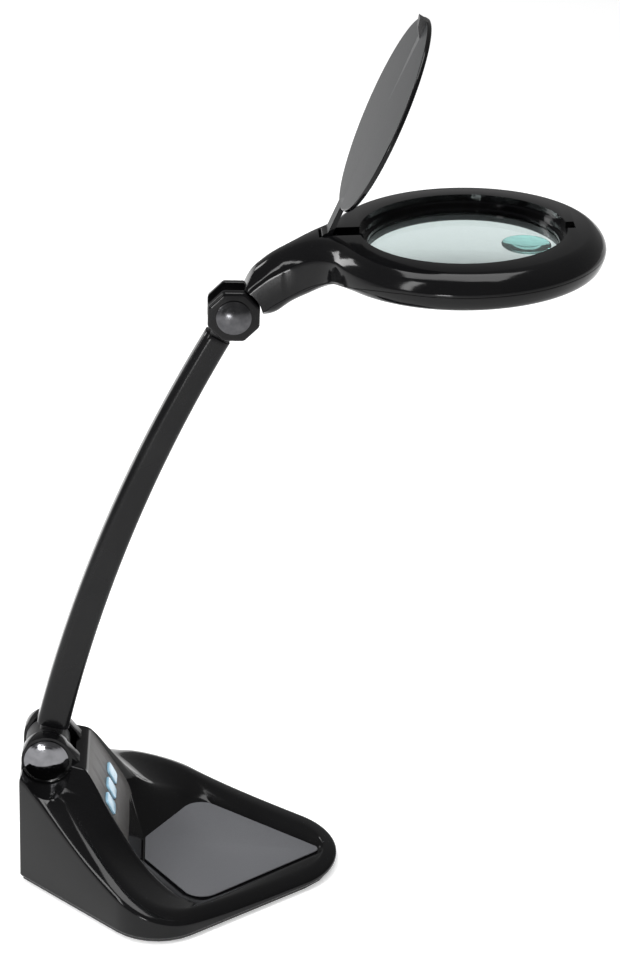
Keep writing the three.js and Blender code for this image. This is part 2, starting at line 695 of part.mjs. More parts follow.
function headScrew([x, y]) {
  return post(x, y, headScrewHead, -18.6, -16.4 - gap).add(post(x, y, headScrewRadius, -18, -7, 12));
}

const lensUnderside = -lensTopDepth - lensEdge;
const frameOuter = diffuserInner - gap;
const frameProfile = [
  [lensOpening, lensUnderside - gap], [frameOuter, lensUnderside - gap], [frameOuter, -ringDepth + 0.2],
  [frameOuter - 2, -ringDepth], [lensOpening + 0.8, -ringDepth + 2], [lensOpening, lensUnderside - 2.6],
];

const boardOuter = ringRadius - 9;

/** A lens outline: a flat edge with two shallow domes. */
function lensProfile(radius, top, edge, bulgeUp, bulgeDown) {
  const steps = 4;
  const dome = (z, bulge) => Array.from({ length: steps }, (_, i) => {
    const share = i / steps;
    return [radius * share, z + bulge * (1 - share * share)];
  });
  return [...dome(top - edge, -bulgeDown), [radius, top - edge], [radius, top],
    ...dome(top, bulgeUp).reverse()];
}

head.add(piece('head_upper_shell', headUpperShell(), blackGloss));
head.add(piece('head_lower_shell', headLowerShell(), blackGloss));
head.add(piece('lens', turned(lensProfile(lensRadius, -lensTopDepth, lensEdge, lensBulge, 0)), clearLens));
head.add(piece('insert_lens', turned(lensProfile(insertRadius, lensUnderside - gap, 0.9, 0, 2.4), 28)
  .translate([insertOffset, 0, 0]), clearLens));
head.add(piece('lens_frame', turned(frameProfile), blackMatte));
head.add(piece('diffuser', turned([
  [diffuserInner, -ringDepth + 0.2], [diffuserOuter, -ringDepth + 0.2],
  [diffuserOuter, diffuserTop], [diffuserInner, diffuserTop],
]), frosted));
head.add(piece('led_board', turned([
  [frameOuter + gap, -14.2], [boardOuter, -14.2], [boardOuter, -12.8], [frameOuter + gap, -12.8],
]), frosted));
headScrewPlaces.forEach((place, i) => head.add(piece(`head_screw_${i + 1}`, headScrew(place), steel)));
head.add(piece('lid_pin', crossBar(
  pivotX, pivotZ, lidPinRadius, -lidTongueHalf - 4.6, lidTongueHalf + 1.8, 20), steel));

// head hinge: two octagonal cheeks that clamp the arm's eye
const cheekInner = eyeHalf + 2 * gap + washerThickness;
const cheekOuter = cheekInner + cheekThickness;
const headHinge = new THREE.Group();
const octagon = roundedPolygon(Array.from({ length: 8 }, (_, i) => {
  const angle = radians(22.5 + 45 * i);
  return [cheekRadius * Math.cos(angle), cheekRadius * Math.sin(angle), cheekCorner];
}), 3, 1).map((p) => [hubX + p.x, hubHeight + p.y]);
for (const [side, name] of [[-1, 'right'], [1, 'left']]) {
  const cheek = sideways(octagon, ...span(side, cheekInner, cheekOuter))
    .subtract(crossBar(hubX, hubHeight, hubBoltRadius + gap, -99, 99))
    .subtract(crossBar(hubX, hubHeight, hubHeadRadius + gap, ...span(side, cheekOuter - hubHeadSink, 99)));
  headHinge.add(piece(`hub_cheek_${name}`, cheek, blackGloss));
}
headHinge.add(...hingeSet('hub', {
  x: hubX, z: hubHeight, bolt: hubBoltRadius, head: hubHeadRadius, cap: hubCapRadius,
  inner: cheekInner, outer: cheekOuter, sink: hubHeadSink,
}));

// ---- hinged lens cover --------------------------------------------------------------------------

const lid = new THREE.Group();
lid.position.set(pivotX, 0, pivotZ);
lid.rotation.y = -radians(lidOpen);
head.add(lid);

function lidBody() {
  const radius = recessRadius - lidClearance;
  const top = lidThickness / 2;
  let body = turned([[0, -top], [radius - 0.6, -top], [radius, -top + 0.6], [radius, top - 0.6],
    [radius - 0.6, top], [0, top]], ringSides).translate([lidArm, 0, 0]);
  body = body.add(block(0, lidArm - radius + 4, -lidTongueHalf, lidTongueHalf, -top, top));
  body = body.add(crossBar(0, 0, lidKnuckleRadius, -lidTongueHalf, lidTongueHalf, 28));
  const tip = lidArm + radius;
  const tab = [[tip - 10, top - 0.2], [tip - 4, top - 0.2], [tip - 0.4, -top + 0.4], [tip, top],
    [tip + 0.6, top + 4.4], [tip - 4.4, top + 3.2]];
  body = body.add(sideways(tab, -3.6, 3.6));
  return body.subtract(crossBar(0, 0, lidPinRadius + gap, -20, 20, 20));
}
lid.add(piece('lens_cover', lidBody(), greySatin));

// ---- assembly -----------------------------------------------------------------------------------

const lamp = new THREE.Group();
lamp.add(base, arm, headHinge, head);
lamp.position.set(0, plateCentre, 0);
lamp.rotation.z = -Math.PI / 2;

const group = new THREE.Group();
group.add(lamp);
group.updateMatrixWorld(true);

export default group;
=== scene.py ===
# %% [markdown]
# A desk magnifier lamp in glossy black: a diamond tray base, a bowed arm and a round lens head whose
# cover stands open. The frame of the lamp is already built and its joints are fixed, so this lesson
# gives it its looks: smooth mouldings, real finishes and soft light. Each step says what the piece is,
# how it could be made, and why it is made this way.

# %% Load the lamp's frame
import json
import math

import bmesh
import bpy
from mathutils import Matrix, Vector


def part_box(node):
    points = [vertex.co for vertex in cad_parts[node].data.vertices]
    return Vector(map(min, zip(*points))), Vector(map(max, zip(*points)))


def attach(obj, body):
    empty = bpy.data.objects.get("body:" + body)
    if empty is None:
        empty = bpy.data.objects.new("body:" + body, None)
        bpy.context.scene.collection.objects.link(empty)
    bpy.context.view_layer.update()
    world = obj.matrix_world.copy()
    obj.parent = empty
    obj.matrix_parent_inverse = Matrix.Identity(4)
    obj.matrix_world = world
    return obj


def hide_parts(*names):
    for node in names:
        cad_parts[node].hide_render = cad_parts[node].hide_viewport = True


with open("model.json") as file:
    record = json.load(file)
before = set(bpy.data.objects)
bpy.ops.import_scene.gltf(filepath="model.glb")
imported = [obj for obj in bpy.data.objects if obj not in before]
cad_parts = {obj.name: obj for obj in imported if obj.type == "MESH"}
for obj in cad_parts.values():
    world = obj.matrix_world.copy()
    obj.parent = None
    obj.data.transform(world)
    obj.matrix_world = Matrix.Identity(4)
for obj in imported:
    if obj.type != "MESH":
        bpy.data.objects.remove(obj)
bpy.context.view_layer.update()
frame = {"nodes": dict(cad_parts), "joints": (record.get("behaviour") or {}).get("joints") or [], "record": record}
joints = {joint["name"]: joint for joint in frame["joints"]}
print("pieces:", len(frame["nodes"]))

# %% [markdown]
# The lamp is easiest to think about from its base hinge: x runs forward to the lens, y runs across and
# z runs up, all in millimetres. One function turns that into the frame's metres, so every size below
# can be read as a maker would measure it.

# %% Measure from the base hinge
MM = 0.001
hinge_pin = Vector(joints["arm_tilt"]["pos_m"])
head_pin = Vector(joints["head_tilt"]["pos_m"])
cover_pin = Vector(joints["cover_hinge"]["pos_m"])


def place(x, y, z):
    """A point in lamp millimetres (forward, across, up) as a point of the frame in metres."""
    return Vector((y * MM, hinge_pin.y - x * MM, z * MM))


def lamp_xz(point):
    """How far forward and how high a point of the frame is, in lamp millimetres."""
    return (hinge_pin.y - point.y) / MM, point.z / MM


hinge_x, hinge_z = lamp_xz(hinge_pin)
hub_x, hub_z = lamp_xz(head_pin)
cover_x, cover_z = lamp_xz(cover_pin)
print(f"hub axis {hub_x:.1f} forward, {hub_z:.1f} up; cover pin {cover_x:.1f} forward, {cover_z:.1f} up")

# %% [markdown]
# The camera stands at the lamp's side, a metre and a half away and looking down at about 24 degrees,
# with a 105 mm lens so that the lamp keeps nearly parallel lines. Building its axes as three vectors is
# clearer than juggling Euler angles, because the small roll is then one rotation in the image plane. The
# Standard view transform keeps white white and black black, as a product picture needs.

# %% Camera
camera_spot = place(69, -1383, 865)
camera_turn = math.radians(-3.07)
camera_dip = math.radians(24.31)
camera_roll = math.radians(1.91)


def camera_axes(turn, dip, roll):
    """The camera's right, up and view directions in the frame."""
    view = Vector((math.cos(turn) * math.cos(dip), math.sin(turn) * math.cos(dip), -math.sin(dip)))
    right = view.cross(Vector((0, 0, 1))).normalized()
    up = right.cross(view)
    tilted_right = right * math.cos(roll) + up * math.sin(roll)
    return tilted_right, up * math.cos(roll) - right * math.sin(roll), view


right, up, view = camera_axes(camera_turn, camera_dip, camera_roll)
camera_data = bpy.data.cameras.new("camera")
camera_data.sensor_fit = "VERTICAL"
camera_data.sensor_height = 36
camera_data.lens = 105
camera = bpy.data.objects.new("camera", camera_data)
camera.matrix_world = Matrix.Translation(camera_spot) @ Matrix((right, up, -view)).transposed().to_4x4()
bpy.context.scene.collection.objects.link(camera)
bpy.context.scene.camera = camera
bpy.context.scene.view_settings.view_transform = "Standard"
print("camera at", tuple(round(v, 3) for v in camera_spot))

# %% [markdown]
# Black gloss shows nothing but its surroundings, so the light is part of the finish. A pale floor runs
# out to a pale sky, one long soft panel hangs over the lamp, and a second stands far off to the left and
# draws a pale line along the rims. A narrow panel in front gives the arm its edge, and a small low one
# puts a clear spot of light on the hinge domes.

# %% Floor and light
def soft_panel(name, spot, aim, size, power):
    """A rectangular area light at one lamp point that faces another."""
    data = bpy.data.lights.new(name, "AREA")
    data.shape = "RECTANGLE"
    data.size, data.size_y = size
    data.energy = power
    light = bpy.data.objects.new(name, data)
    towards = place(*aim) - place(*spot)
    light.matrix_world = (Matrix.Translation(place(*spot))
                          @ towards.to_track_quat("-Z", "Y").to_matrix().to_4x4())
    bpy.context.scene.collection.objects.link(light)


def pale_surroundings(strength):
    """An even pale sky."""
    world = bpy.data.worlds.new("studio")
    world.use_nodes = True
    sky = world.node_tree.nodes["Background"]
    sky.inputs["Color"].default_value = (1, 1, 1, 1)
    sky.inputs["Strength"].default_value = strength
    bpy.context.scene.world = world


pale_surroundings(0.26)
soft_panel("overhead", (60, -100, 1900), (90, 0, 200), (1.6, 0.9), 34)
soft_panel("far_left", (-2600, 1700, 1500), (120, 0, 250), (0.7, 1.6), 46)
soft_panel("front_left", (-900, -900, 1100), (40, 0, 200), (0.25, 1.2), 12)
soft_panel("low_window", (-300, -1500, 120), (0, 0, 80), (0.3, 0.16), 5)

floor_side, floor_drop = 14, 0.0002
bpy.ops.mesh.primitive_plane_add(size=floor_side, location=(0, 0, -floor_drop))
floor = bpy.context.object
floor.name = "floor"

# %% [markdown]
# A shader is arithmetic on a surface, so it is written as arithmetic here. `Wire` wraps one socket and
# turns Python's operators into Math nodes.

# %% Shader arithmetic
class Wire:
    """One output socket that can be added, subtracted and multiplied like a number."""

    def __init__(self, finish, socket):
        self.finish = finish
        self.socket = socket

    def maths(self, operation, first, second):
        return self.finish.node("ShaderNodeMath", {"operation": operation}, {0: first, 1: second})

    def __add__(self, other):
        return self.maths("ADD", self, other)

    def __sub__(self, other):
        return self.maths("SUBTRACT", self, other)

    def __rsub__(self, other):
        return self.maths("SUBTRACT", other, self)

    def __mul__(self, other):
        return self.maths("MULTIPLY", self, other)

    __radd__ = __add__
    __rmul__ = __mul__


print("a wire takes + - and *")

# %% [markdown]
# A finish is one material. Anything that isn't plain arithmetic comes from its one method `node`, which
# takes the node's type, its settings and its inputs; the other methods are the few patterns that the
# finishes below share: noise, a ramp, a colour between two colours, and small bumps.

# %% One material
class Finish:
    """A material: one Principled shader and the nodes that vary it over the surface."""

    def __init__(self, name, **constants):
        self.material = bpy.data.materials.new(name)
        self.material.use_nodes = True
        self.tree = self.material.node_tree
        self.shader = self.tree.nodes["Principled BSDF"]
        for socket, value in constants.items():
            self.shader.inputs[socket.replace("_", " ")].default_value = value

    def node(self, kind, settings=None, inputs=None, output=0):
        """Any node: its settings first, then values or wires for its sockets."""
        made = self.tree.nodes.new(kind)
        for name, value in (settings or {}).items():
            if name == "stops":
                self.set_stops(made.color_ramp, value)
            else:
                setattr(made, name, value)
        for socket, value in (inputs or {}).items():
            self.feed(made.inputs[socket], value)
        return Wire(self, made.outputs[output])

    def set_stops(self, ramp, stops):
        while len(ramp.elements) < len(stops):
            ramp.elements.new(1)
        for element, (spot, level) in zip(ramp.elements, stops):
            element.position = spot
            element.color = level if isinstance(level, tuple) else (level, level, level, 1)

    def feed(self, socket, value):
        if isinstance(value, Wire):
            self.tree.links.new(value.socket, socket)
        else:
            socket.default_value = value

    def drive(self, socket, value):
        """Link a varying value into one of the shader's own sockets."""
        self.feed(self.shader.inputs[socket], value)

    def spot(self):
        """The surface point in the piece's own metres."""
        return self.node("ShaderNodeTexCoord", output="Object")

    def grain(self, scale, detail=2.0, stretch=(1, 1, 1), rough=0.5):
        """Cloudy noise from 0 to 1; stretch draws it out along an axis."""
        drawn = self.node("ShaderNodeMapping", {}, {"Vector": self.spot(), "Scale": stretch})
        return self.node("ShaderNodeTexNoise", {}, {
            "Vector": drawn, "Scale": scale, "Detail": detail, "Roughness": rough})

    def ramp(self, value, stops):
        return self.node("ShaderNodeValToRGB", {"stops": stops}, {"Fac": value})

    def tint(self, factor, first, second):
        """A colour between two colours."""
        return self.node("ShaderNodeMix", {"data_type": "RGBA"}, {0: factor, 6: first, 7: second}, output=2)

    def relief(self, height, strength, depth):
        """Small bumps of a given depth in metres."""
        self.drive("Normal", self.node("ShaderNodeBump", {}, {
            "Height": height, "Strength": strength, "Distance": depth}))


print("finish methods:", [name for name in vars(Finish) if not name.startswith("_")])

# %% [markdown]
# The housings are injection moulded and polished until they mirror the room. Real gloss is never
# perfect: the skin has a faint orange peel, handling leaves hair-fine scratches, and fingertips dull it
# in patches. Three grains of noise do that, and each moves the roughness or the relief only slightly.

# %% Gloss black
def gloss_black(name, level, polish):
    finish = Finish(name, Specular_IOR_Level=0.17)
    smears = finish.ramp(finish.grain(22, 4), [(0.42, 0.0), (0.75, 1.0)])
    hairs = finish.ramp(finish.grain(260, 2, (1, 14, 1)), [(0.66, 0.0), (0.72, 1.0)])
    dust = finish.ramp(finish.grain(2600, 1), [(0.74, 0.0), (0.8, 1.0)])
    finish.drive("Base Color", finish.tint(smears * 0.5 + dust * 0.4, (level, level, level * 1.1, 1),
                                           (level * 2.2, level * 2.2, level * 2.3, 1)))
    finish.drive("Roughness", smears * 0.05 + hairs * 0.06 + dust * 0.08 + polish)
    finish.relief(finish.grain(420, 2) * 0.7 + hairs * -0.3, 0.05, 0.0002)
    return finish.material


black_gloss = gloss_black("black_gloss", 0.003, 0.09)
black_arm = gloss_black("black_arm", 0.004, 0.16)
print("finishes:", black_gloss.name, black_arm.name)

# %% [markdown]
# Hidden and working pieces are moulded in a plain matt black whose fine spark-eroded texture comes from
# the mould. A tight noise in the relief is enough, with a little variation in the roughness.

# %% Textured black
def textured_black():
    finish = Finish("black_textured", Specular_IOR_Level=0.4)
    spark = finish.grain(1500, 3)
    finish.drive("Base Color", finish.tint(finish.grain(60, 3), (0.011, 0.011, 0.012, 1),
                                           (0.02, 0.02, 0.021, 1)))
    finish.drive("Roughness", spark * 0.2 + 0.42)
    finish.relief(spark, 0.35, 0.0002)
    return finish.material


black_textured = textured_black()
print("finish:", black_textured.name)

# %% [markdown]
# The tray holds a grey rubber mat with a soft, closely pebbled face, and a little dust caught in it.
# Voronoi cells make the pebbles; broad noise keeps the grey from being flat.

# %% Grey mat
def grey_mat_finish():
    finish = Finish("grey_mat", Specular_IOR_Level=0.35)
    pebbles = finish.node("ShaderNodeTexVoronoi", {}, {"Vector": finish.spot(), "Scale": 1100.0})
    clouds = finish.grain(16, 4)
    finish.drive("Base Color", finish.tint(clouds, (0.1, 0.102, 0.11, 1), (0.125, 0.127, 0.135, 1)))
    finish.drive("Roughness", pebbles * 0.12 + clouds * 0.08 + 0.5)
    finish.relief(1 - pebbles, 0.18, 0.00015)
    return finish.material


grey_mat = grey_mat_finish()
print("finish:", grey_mat.name)

# %% [markdown]
# The cover's broad faces are satin grey, like fine-sanded plastic, and only its rim is gloss black. A
# middling roughness that follows a drawn-out grain gives satin its soft sheen.

# %% Satin grey cover
def satin_grey_finish():
    finish = Finish("satin_grey", Specular_IOR_Level=0.2)
    silk = finish.grain(900, 2, (1, 1, 5))
    clouds = finish.grain(12, 3)
    finish.drive("Base Color", finish.tint(clouds, (0.022, 0.023, 0.024, 1), (0.032, 0.033, 0.034, 1)))
    finish.drive("Roughness", silk * 0.1 + clouds * 0.06 + 0.34)
    finish.relief(silk, 0.06, 0.0001)
    return finish.material


satin_grey = satin_grey_finish()
print("finish:", satin_grey.name)

# %% [markdown]
# The sloping key panel has a face film in a warm dark satin, so that the keys stand out from the gloss
# round them. Its grain is drawn across the panel like a brushed sheet.

# %% Satin key panel
def satin_panel_finish():
    finish = Finish("satin_panel", Specular_IOR_Level=0.35)
    brush = finish.grain(700, 2, (6, 1, 1))
    finish.drive("Base Color", finish.tint(finish.grain(30, 3), (0.03, 0.027, 0.025, 1),
                                           (0.045, 0.041, 0.038, 1)))
    finish.drive("Roughness", brush * 0.14 + 0.36)
    finish.relief(brush, 0.08, 0.0001)
    return finish.material


satin_panel = satin_panel_finish()
print("finish:", satin_panel.name)

# %% [markdown]
# Four metals: the head hinge's domes are satin gunmetal and the base hinge's are dark chrome, both turned
# so that faint rings run round them; the screws and bolts are bright zinc; the ballast is raw cast iron.
# A metallic shader takes its colour from the base colour, so small changes there read as tarnish.

# %% Metals
rings_per_metre = 26000.0


def turned_metal(name, dark, light, polish, centre):
    finish = Finish(name, Metallic=1.0)
    away = finish.node("ShaderNodeVectorMath", {"operation": "DISTANCE"},
                       {0: finish.spot(), 1: tuple(centre)}, output="Value")
    rings = finish.node("ShaderNodeMath", {"operation": "SINE"}, {0: away * rings_per_metre})
    tarnish = finish.grain(240, 4)
    finish.drive("Base Color", finish.tint(tarnish, dark, light))
    finish.drive("Roughness", tarnish * 0.08 + rings * 0.02 + polish)
    finish.relief(rings, 0.05, 0.00004)
    return finish.material


def plain_metal(name, dark, light, polish, stretch=(1, 1, 1)):
    finish = Finish(name, Metallic=1.0)
    brush = finish.grain(900, 3, stretch)
    finish.drive("Base Color", finish.tint(finish.grain(180, 4), dark, light))
    finish.drive("Roughness", brush * 0.2 + polish)
    finish.relief(brush, 0.12, 0.00008)
    return finish.material


gunmetal = turned_metal("gunmetal_dome", (0.03, 0.03, 0.032, 1), (0.11, 0.11, 0.115, 1), 0.16, head_pin)
dark_chrome = turned_metal("dark_chrome_dome", (0.1, 0.1, 0.105, 1), (0.2, 0.2, 0.21, 1), 0.06, hinge_pin)
zinc = plain_metal("bright_zinc", (0.45, 0.45, 0.47, 1), (0.66, 0.66, 0.68, 1), 0.22)
cast_iron = plain_metal("cast_iron", (0.03, 0.03, 0.032, 1), (0.09, 0.085, 0.08, 1), 0.6)
print("metals:", gunmetal.name, zinc.name, cast_iron.name)

# %% [markdown]
# The keys are pearl blue: a pale, slightly shimmering moulding. The shimmer is a sparse sparkle in the
# colour under a clear coat.

# %% Pearl keys, rubber, board and light ring
def pearl_finish():
    finish = Finish("pearl_blue", Specular_IOR_Level=0.6, Coat_Roughness=0.08)
    flakes = finish.ramp(finish.grain(3200, 1), [(0.5, 0.0), (0.68, 1.0)])
    finish.drive("Base Color", finish.tint(flakes, (0.33, 0.62, 0.83, 1), (0.62, 0.83, 0.95, 1)))
    finish.drive("Roughness", 0.3 - flakes * 0.1)
    finish.drive("Coat Weight", flakes * 0.3 + 0.5)
    finish.relief(finish.grain(500, 2), 0.05, 0.0001)
    return finish.material


def soft_plastic(name, dark, light, polish, scale):
    finish = Finish(name, Specular_IOR_Level=0.4)
    grain = finish.grain(scale, 3)
    finish.drive("Base Color", finish.tint(grain, dark, light))
    finish.drive("Roughness", grain * 0.15 + polish)
    finish.relief(grain, 0.15, 0.0001)
    return finish.material


pearl_blue = pearl_finish()
foot_rubber = soft_plastic("foot_rubber", (0.012, 0.012, 0.012, 1), (0.03, 0.03, 0.03, 1), 0.7, 700)
board_green = soft_plastic("board_green", (0.01, 0.09, 0.03, 1), (0.02, 0.15, 0.05, 1), 0.35, 300)
light_white = soft_plastic("light_white", (0.72, 0.74, 0.76, 1), (0.84, 0.86, 0.88, 1), 0.4, 240)
print("finishes:", pearl_blue.name, foot_rubber.name, board_green.name, light_white.name)

# %% [markdown]
# The lens is optical glass with a faint grey-green cast, and the small strong lens is a clearer teal. Full
# transmission with glass's index bends what lies behind them. Slight smears keep the surface real.

# %% Lens glass
def lens_glass(name, colour, index):
    finish = Finish(name, Transmission_Weight=1.0, IOR=index)
    finish.drive("Base Color", finish.tint(finish.grain(20, 3), colour, tuple(c * 0.99 for c in colour)))
    smears = finish.ramp(finish.grain(30, 4), [(0.5, 0.0), (0.8, 1.0)])
    finish.drive("Roughness", smears * 0.015)
    return finish.material


clear_glass = lens_glass("clear_glass", (0.62, 0.71, 0.7, 1), 1.49)
insert_glass = lens_glass("insert_glass", (0.5, 0.88, 0.84, 1), 1.52)


def floor_finish():
    finish = Finish("pale_floor", Specular_IOR_Level=0.05, Emission_Color=(1, 1, 1, 1),
                    Emission_Strength=0.46)
    finish.drive("Base Color", finish.tint(finish.grain(3, 3), (0.86, 0.86, 0.86, 1), (0.88, 0.88, 0.88, 1)))
    finish.drive("Roughness", finish.grain(30, 2) * 0.1 + 0.6)
    return finish.material


floor.data.materials.append(floor_finish())
print("glass:", clear_glass.name, insert_glass.name)

# %% [markdown]
# Every moulding below starts as a few outlines in its own frame: the lamp's, the lens ring's, the open
# cover's or the sloping key panel's. A matrix for each frame turns its millimetres into the scene.

# %% Frames of the lamp, the ring, the cover and the key panel
ring_tilt = math.radians(2.7)
cover_reach = 71.4
cover_sink = 2.0
cover_open = math.radians(64.7)
shift = Matrix.Translation
lamp_axes = Matrix(((0, MM, 0, 0), (-MM, 0, 0, 0), (0, 0, MM, 0), (0, 0, 0, 1)))
lamp_frame = shift((0, hinge_pin.y, 0)) @ lamp_axes
ring_x = cover_x + cover_reach * math.cos(ring_tilt) - cover_sink * math.sin(ring_tilt)
ring_z = cover_z + cover_reach * math.sin(ring_tilt) + cover_sink * math.cos(ring_tilt)
ring_frame = lamp_frame @ shift((ring_x, 0, ring_z)) @ Matrix.Rotation(-ring_tilt, 4, "Y")
cover_frame = ring_frame @ shift((-cover_reach, 0, -cover_sink)) @ Matrix.Rotation(-cover_open, 4, "Y")
print(f"ring centre {ring_x:.1f} forward, {ring_z:.1f} up")

# %% [markdown]
# Most mouldings start from a plan with rounded corners. Each corner is turned into an arc that touches
# both of its edges.

# %% Rounded plans
def rounded_polygon(corners, arc_steps, edge_steps=1):
    """Plan points of a polygon; each corner is (x, y, radius)."""
    arcs = []
    for i, (x, y, radius) in enumerate(corners):
        here = Vector((x, y))
        back = (Vector(corners[i - 1][:2]) - here).normalized()
        ahead = (Vector(corners[(i + 1) % len(corners)][:2]) - here).normalized()
        half = back.angle(ahead) / 2
        centre = here + (back + ahead).normalized() * (radius / math.sin(half))
        start = here + back * (radius / math.tan(half)) - centre
        sweep = math.pi - 2 * half
        arcs.append([centre + Matrix.Rotation(sweep * k / arc_steps, 2) @ start
                     for k in range(arc_steps + 1)])
    points = []
    for arc, following in zip(arcs, arcs[1:] + arcs[:1]):
        points += arc
        points += [arc[-1].lerp(following[0], k / edge_steps) for k in range(1, edge_steps)]
    return points


def rounded_oblong(long, wide, radius, steps):
    """Plan points of a rounded oblong that is long in x and wide in y."""
    return rounded_polygon([(-long / 2, -wide / 2, radius), (long / 2, -wide / 2, radius),
                            (long / 2, wide / 2, radius), (-long / 2, wide / 2, radius)], steps)


print("an oblong has", len(rounded_oblong(20, 10, 2, 4)), "points")

# %% [markdown]
# A profile seen from the side is a polyline whose corners are eased into short curves, as a mould maker
# would ease them with a cutter.

# %% Eased profiles
def eased(points, radii, steps=5):
    """A 3-D polyline whose inner corners are turned into short curves of about each radius."""
    curve = [points[0]]
    for before, corner, after, radius in zip(points, points[1:], points[2:], radii):
        back, ahead = before - corner, after - corner
        reach_back = min(radius, back.length * 0.48)
        reach_ahead = min(radius, ahead.length * 0.48)
        start = corner + back.normalized() * reach_back
        end = corner + ahead.normalized() * reach_ahead
        for k in range(steps + 1):
            t = k / steps
            curve.append(start * (1 - t) ** 2 + corner * 2 * t * (1 - t) + end * t ** 2)
    return curve + [points[-1]]


def eased_profile(points, radii, steps=5):
    """A (radius, height) outline with eased corners."""
    curve = eased([Vector((r, 0, z)) for r, z in points], radii, steps)
    return [(p.x, p.z) for p in curve]


print("an eased corner has", len(eased_profile([(0, 0), (1, 0), (1, 1)], [0.2])) - 2, "points")

# %% [markdown]
# Two ways to turn outlines into a surface: a skin stretched over rings of equal length, and a profile
# turned round an axis as on a lathe.

# %% Skins and turned shapes
def skin(rings, closed_ends=True):
    """Vertices and faces of a skin over rings of equal length."""
    count = len(rings[0])
    faces = []
    for r in range(len(rings) - 1):
        for i in range(count):
            j = (i + 1) % count
            faces.append((r * count + i, r * count + j, (r + 1) * count + j, (r + 1) * count + i))
    if closed_ends:
        faces.append(tuple(reversed(range(count))))
        faces.append(tuple(range((len(rings) - 1) * count, len(rings) * count)))
    return [p for ring in rings for p in ring], faces


def turned(profile, steps=160):
    """A round body about z from (radius, height) pairs; ends on the axis, or closes on itself."""
    on_axis = profile[0][0] == 0
    body = profile[1:-1] if on_axis else profile
    points = [Vector((r * math.cos(2 * math.pi * i / steps), r * math.sin(2 * math.pi * i / steps), z))
              for r, z in body for i in range(steps)]
    faces = []
    rows = len(body) if not on_axis else len(body) - 1
    for r in range(rows):
        low, high = r * steps, (r + 1) % len(body) * steps
        faces += [(low + i, low + (i + 1) % steps, high + (i + 1) % steps, high + i) for i in range(steps)]
    if on_axis:
        points += [Vector((0, 0, profile[0][1])), Vector((0, 0, profile[-1][1]))]
        last = (len(body) - 1) * steps
        faces += [(len(points) - 2, (i + 1) % steps, i) for i in range(steps)]
        faces += [(len(points) - 1, last + i, last + (i + 1) % steps) for i in range(steps)]
    return points, faces


def laid_across(shape, x, z):
    """An upright round shape laid on its side across the lamp, about the axis through x and z."""
    points, faces = shape
    return [Vector((x + p.x, p.z, z - p.y)) for p in points], faces


print("a small lathe ring has", len(turned([(1, 0), (2, 0), (2, 1)], 8)[1]), "faces")

# %% [markdown]
# A solid is a mesh that can still be joined to and cut by others. Blender's manifold Boolean does this
# well on closed meshes, so `Solid` applies each one at once and keeps only its result.

# %% Solids
def outward(mesh):
    """Turn all faces to look out."""
    bm = bmesh.new()
    bm.from_mesh(mesh)
    bmesh.ops.remove_doubles(bm, verts=bm.verts, dist=1e-7)
    bmesh.ops.recalc_face_normals(bm, faces=bm.faces)
    bm.to_mesh(mesh)
    bm.free()


class Solid:
    """A closed mesh in the scene that takes cuts, joins and modifiers one after another."""

    def __init__(self, shape, frame_matrix, name="tool"):
        self.frame = frame_matrix
        points, faces = shape
        mesh = bpy.data.meshes.new(name)
        mesh.from_pydata([self.frame @ p.to_3d() for p in points], [], faces)
        outward(mesh)
        self.object = bpy.data.objects.new(name, mesh)
        bpy.context.scene.collection.objects.link(self.object)

    def change(self, kind, **settings):
        """Add a modifier and keep its result."""
        modifier = self.object.modifiers.new(kind.lower(), kind)
        for key, value in settings.items():
            setattr(modifier, key, value)
        ready = self.object.evaluated_get(bpy.context.evaluated_depsgraph_get())
        mesh = bpy.data.meshes.new_from_object(ready)
        self.object.modifiers.clear()
        self.object.data = mesh
        return self

    def combine(self, operation, shape):
        """Combine with another solid, or with plain points and faces in this solid's own frame."""
        tool = shape if isinstance(shape, Solid) else Solid(shape, self.frame)
        self.change("BOOLEAN", operation=operation, object=tool.object, solver="MANIFOLD")
        bpy.data.objects.remove(tool.object)
        return self

    def cut(self, shape):
        return self.combine("DIFFERENCE", shape)

    def join(self, shape):
        return self.combine("UNION", shape)

    def keep(self, shape):
        return self.combine("INTERSECT", shape)


print("a solid can", [name for name in vars(Solid) if not name.startswith("_")])

# %% [markdown]
# A piece is done when its cut edges are rounded with a small bevel, its smooth and sharp edges are told
# apart, and it has its finish. Then it is handed to the body that carries it, in place of the frame's
# nodes that it stands for.

# %% Finishing a piece
def finished(solid, name, finish, body, nodes, bevel=0.0, sharp=32):
    """Bevel, shade, colour, and give the piece to its body in place of the nodes it stands for."""
    if bevel:
        solid.change("BEVEL", width=bevel * MM, segments=2, limit_method="ANGLE",
                     angle_limit=math.radians(sharp))
    piece = solid.object
    piece.name = name
    piece.data.shade_smooth()
    piece.data.set_sharp_from_angle(angle=math.radians(sharp))
    piece.data.materials.clear()
    piece.data.materials.append(finish)
    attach(piece, body)
    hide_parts(*nodes)
    print(f"{name}: {len(piece.data.polygons)} faces on {body}")
    return piece


print("a finished piece is bevelled, shaded and carried by its body")

# %% [markdown]
# A few plain shapes do most of the cutting and joining: a slab, an upright rod, a rod that lies across
# the lamp, and a side outline pushed across.

# %% Simple cutting shapes
def slab(x0, x1, y0, y1, z0, z1):
    corners = [Vector((x0, y0)), Vector((x1, y0)), Vector((x1, y1)), Vector((x0, y1))]
    return skin([[Vector((c.x, c.y, z)) for c in corners] for z in (z0, z1)])


def rod(radius, low, high, steps=96):
    return turned([(0, low), (radius, low), (radius, high), (0, high)], steps)


def cross_rod(x, z, radius, low, high, steps=96):
    return laid_across(rod(radius, low, high, steps), x, z)


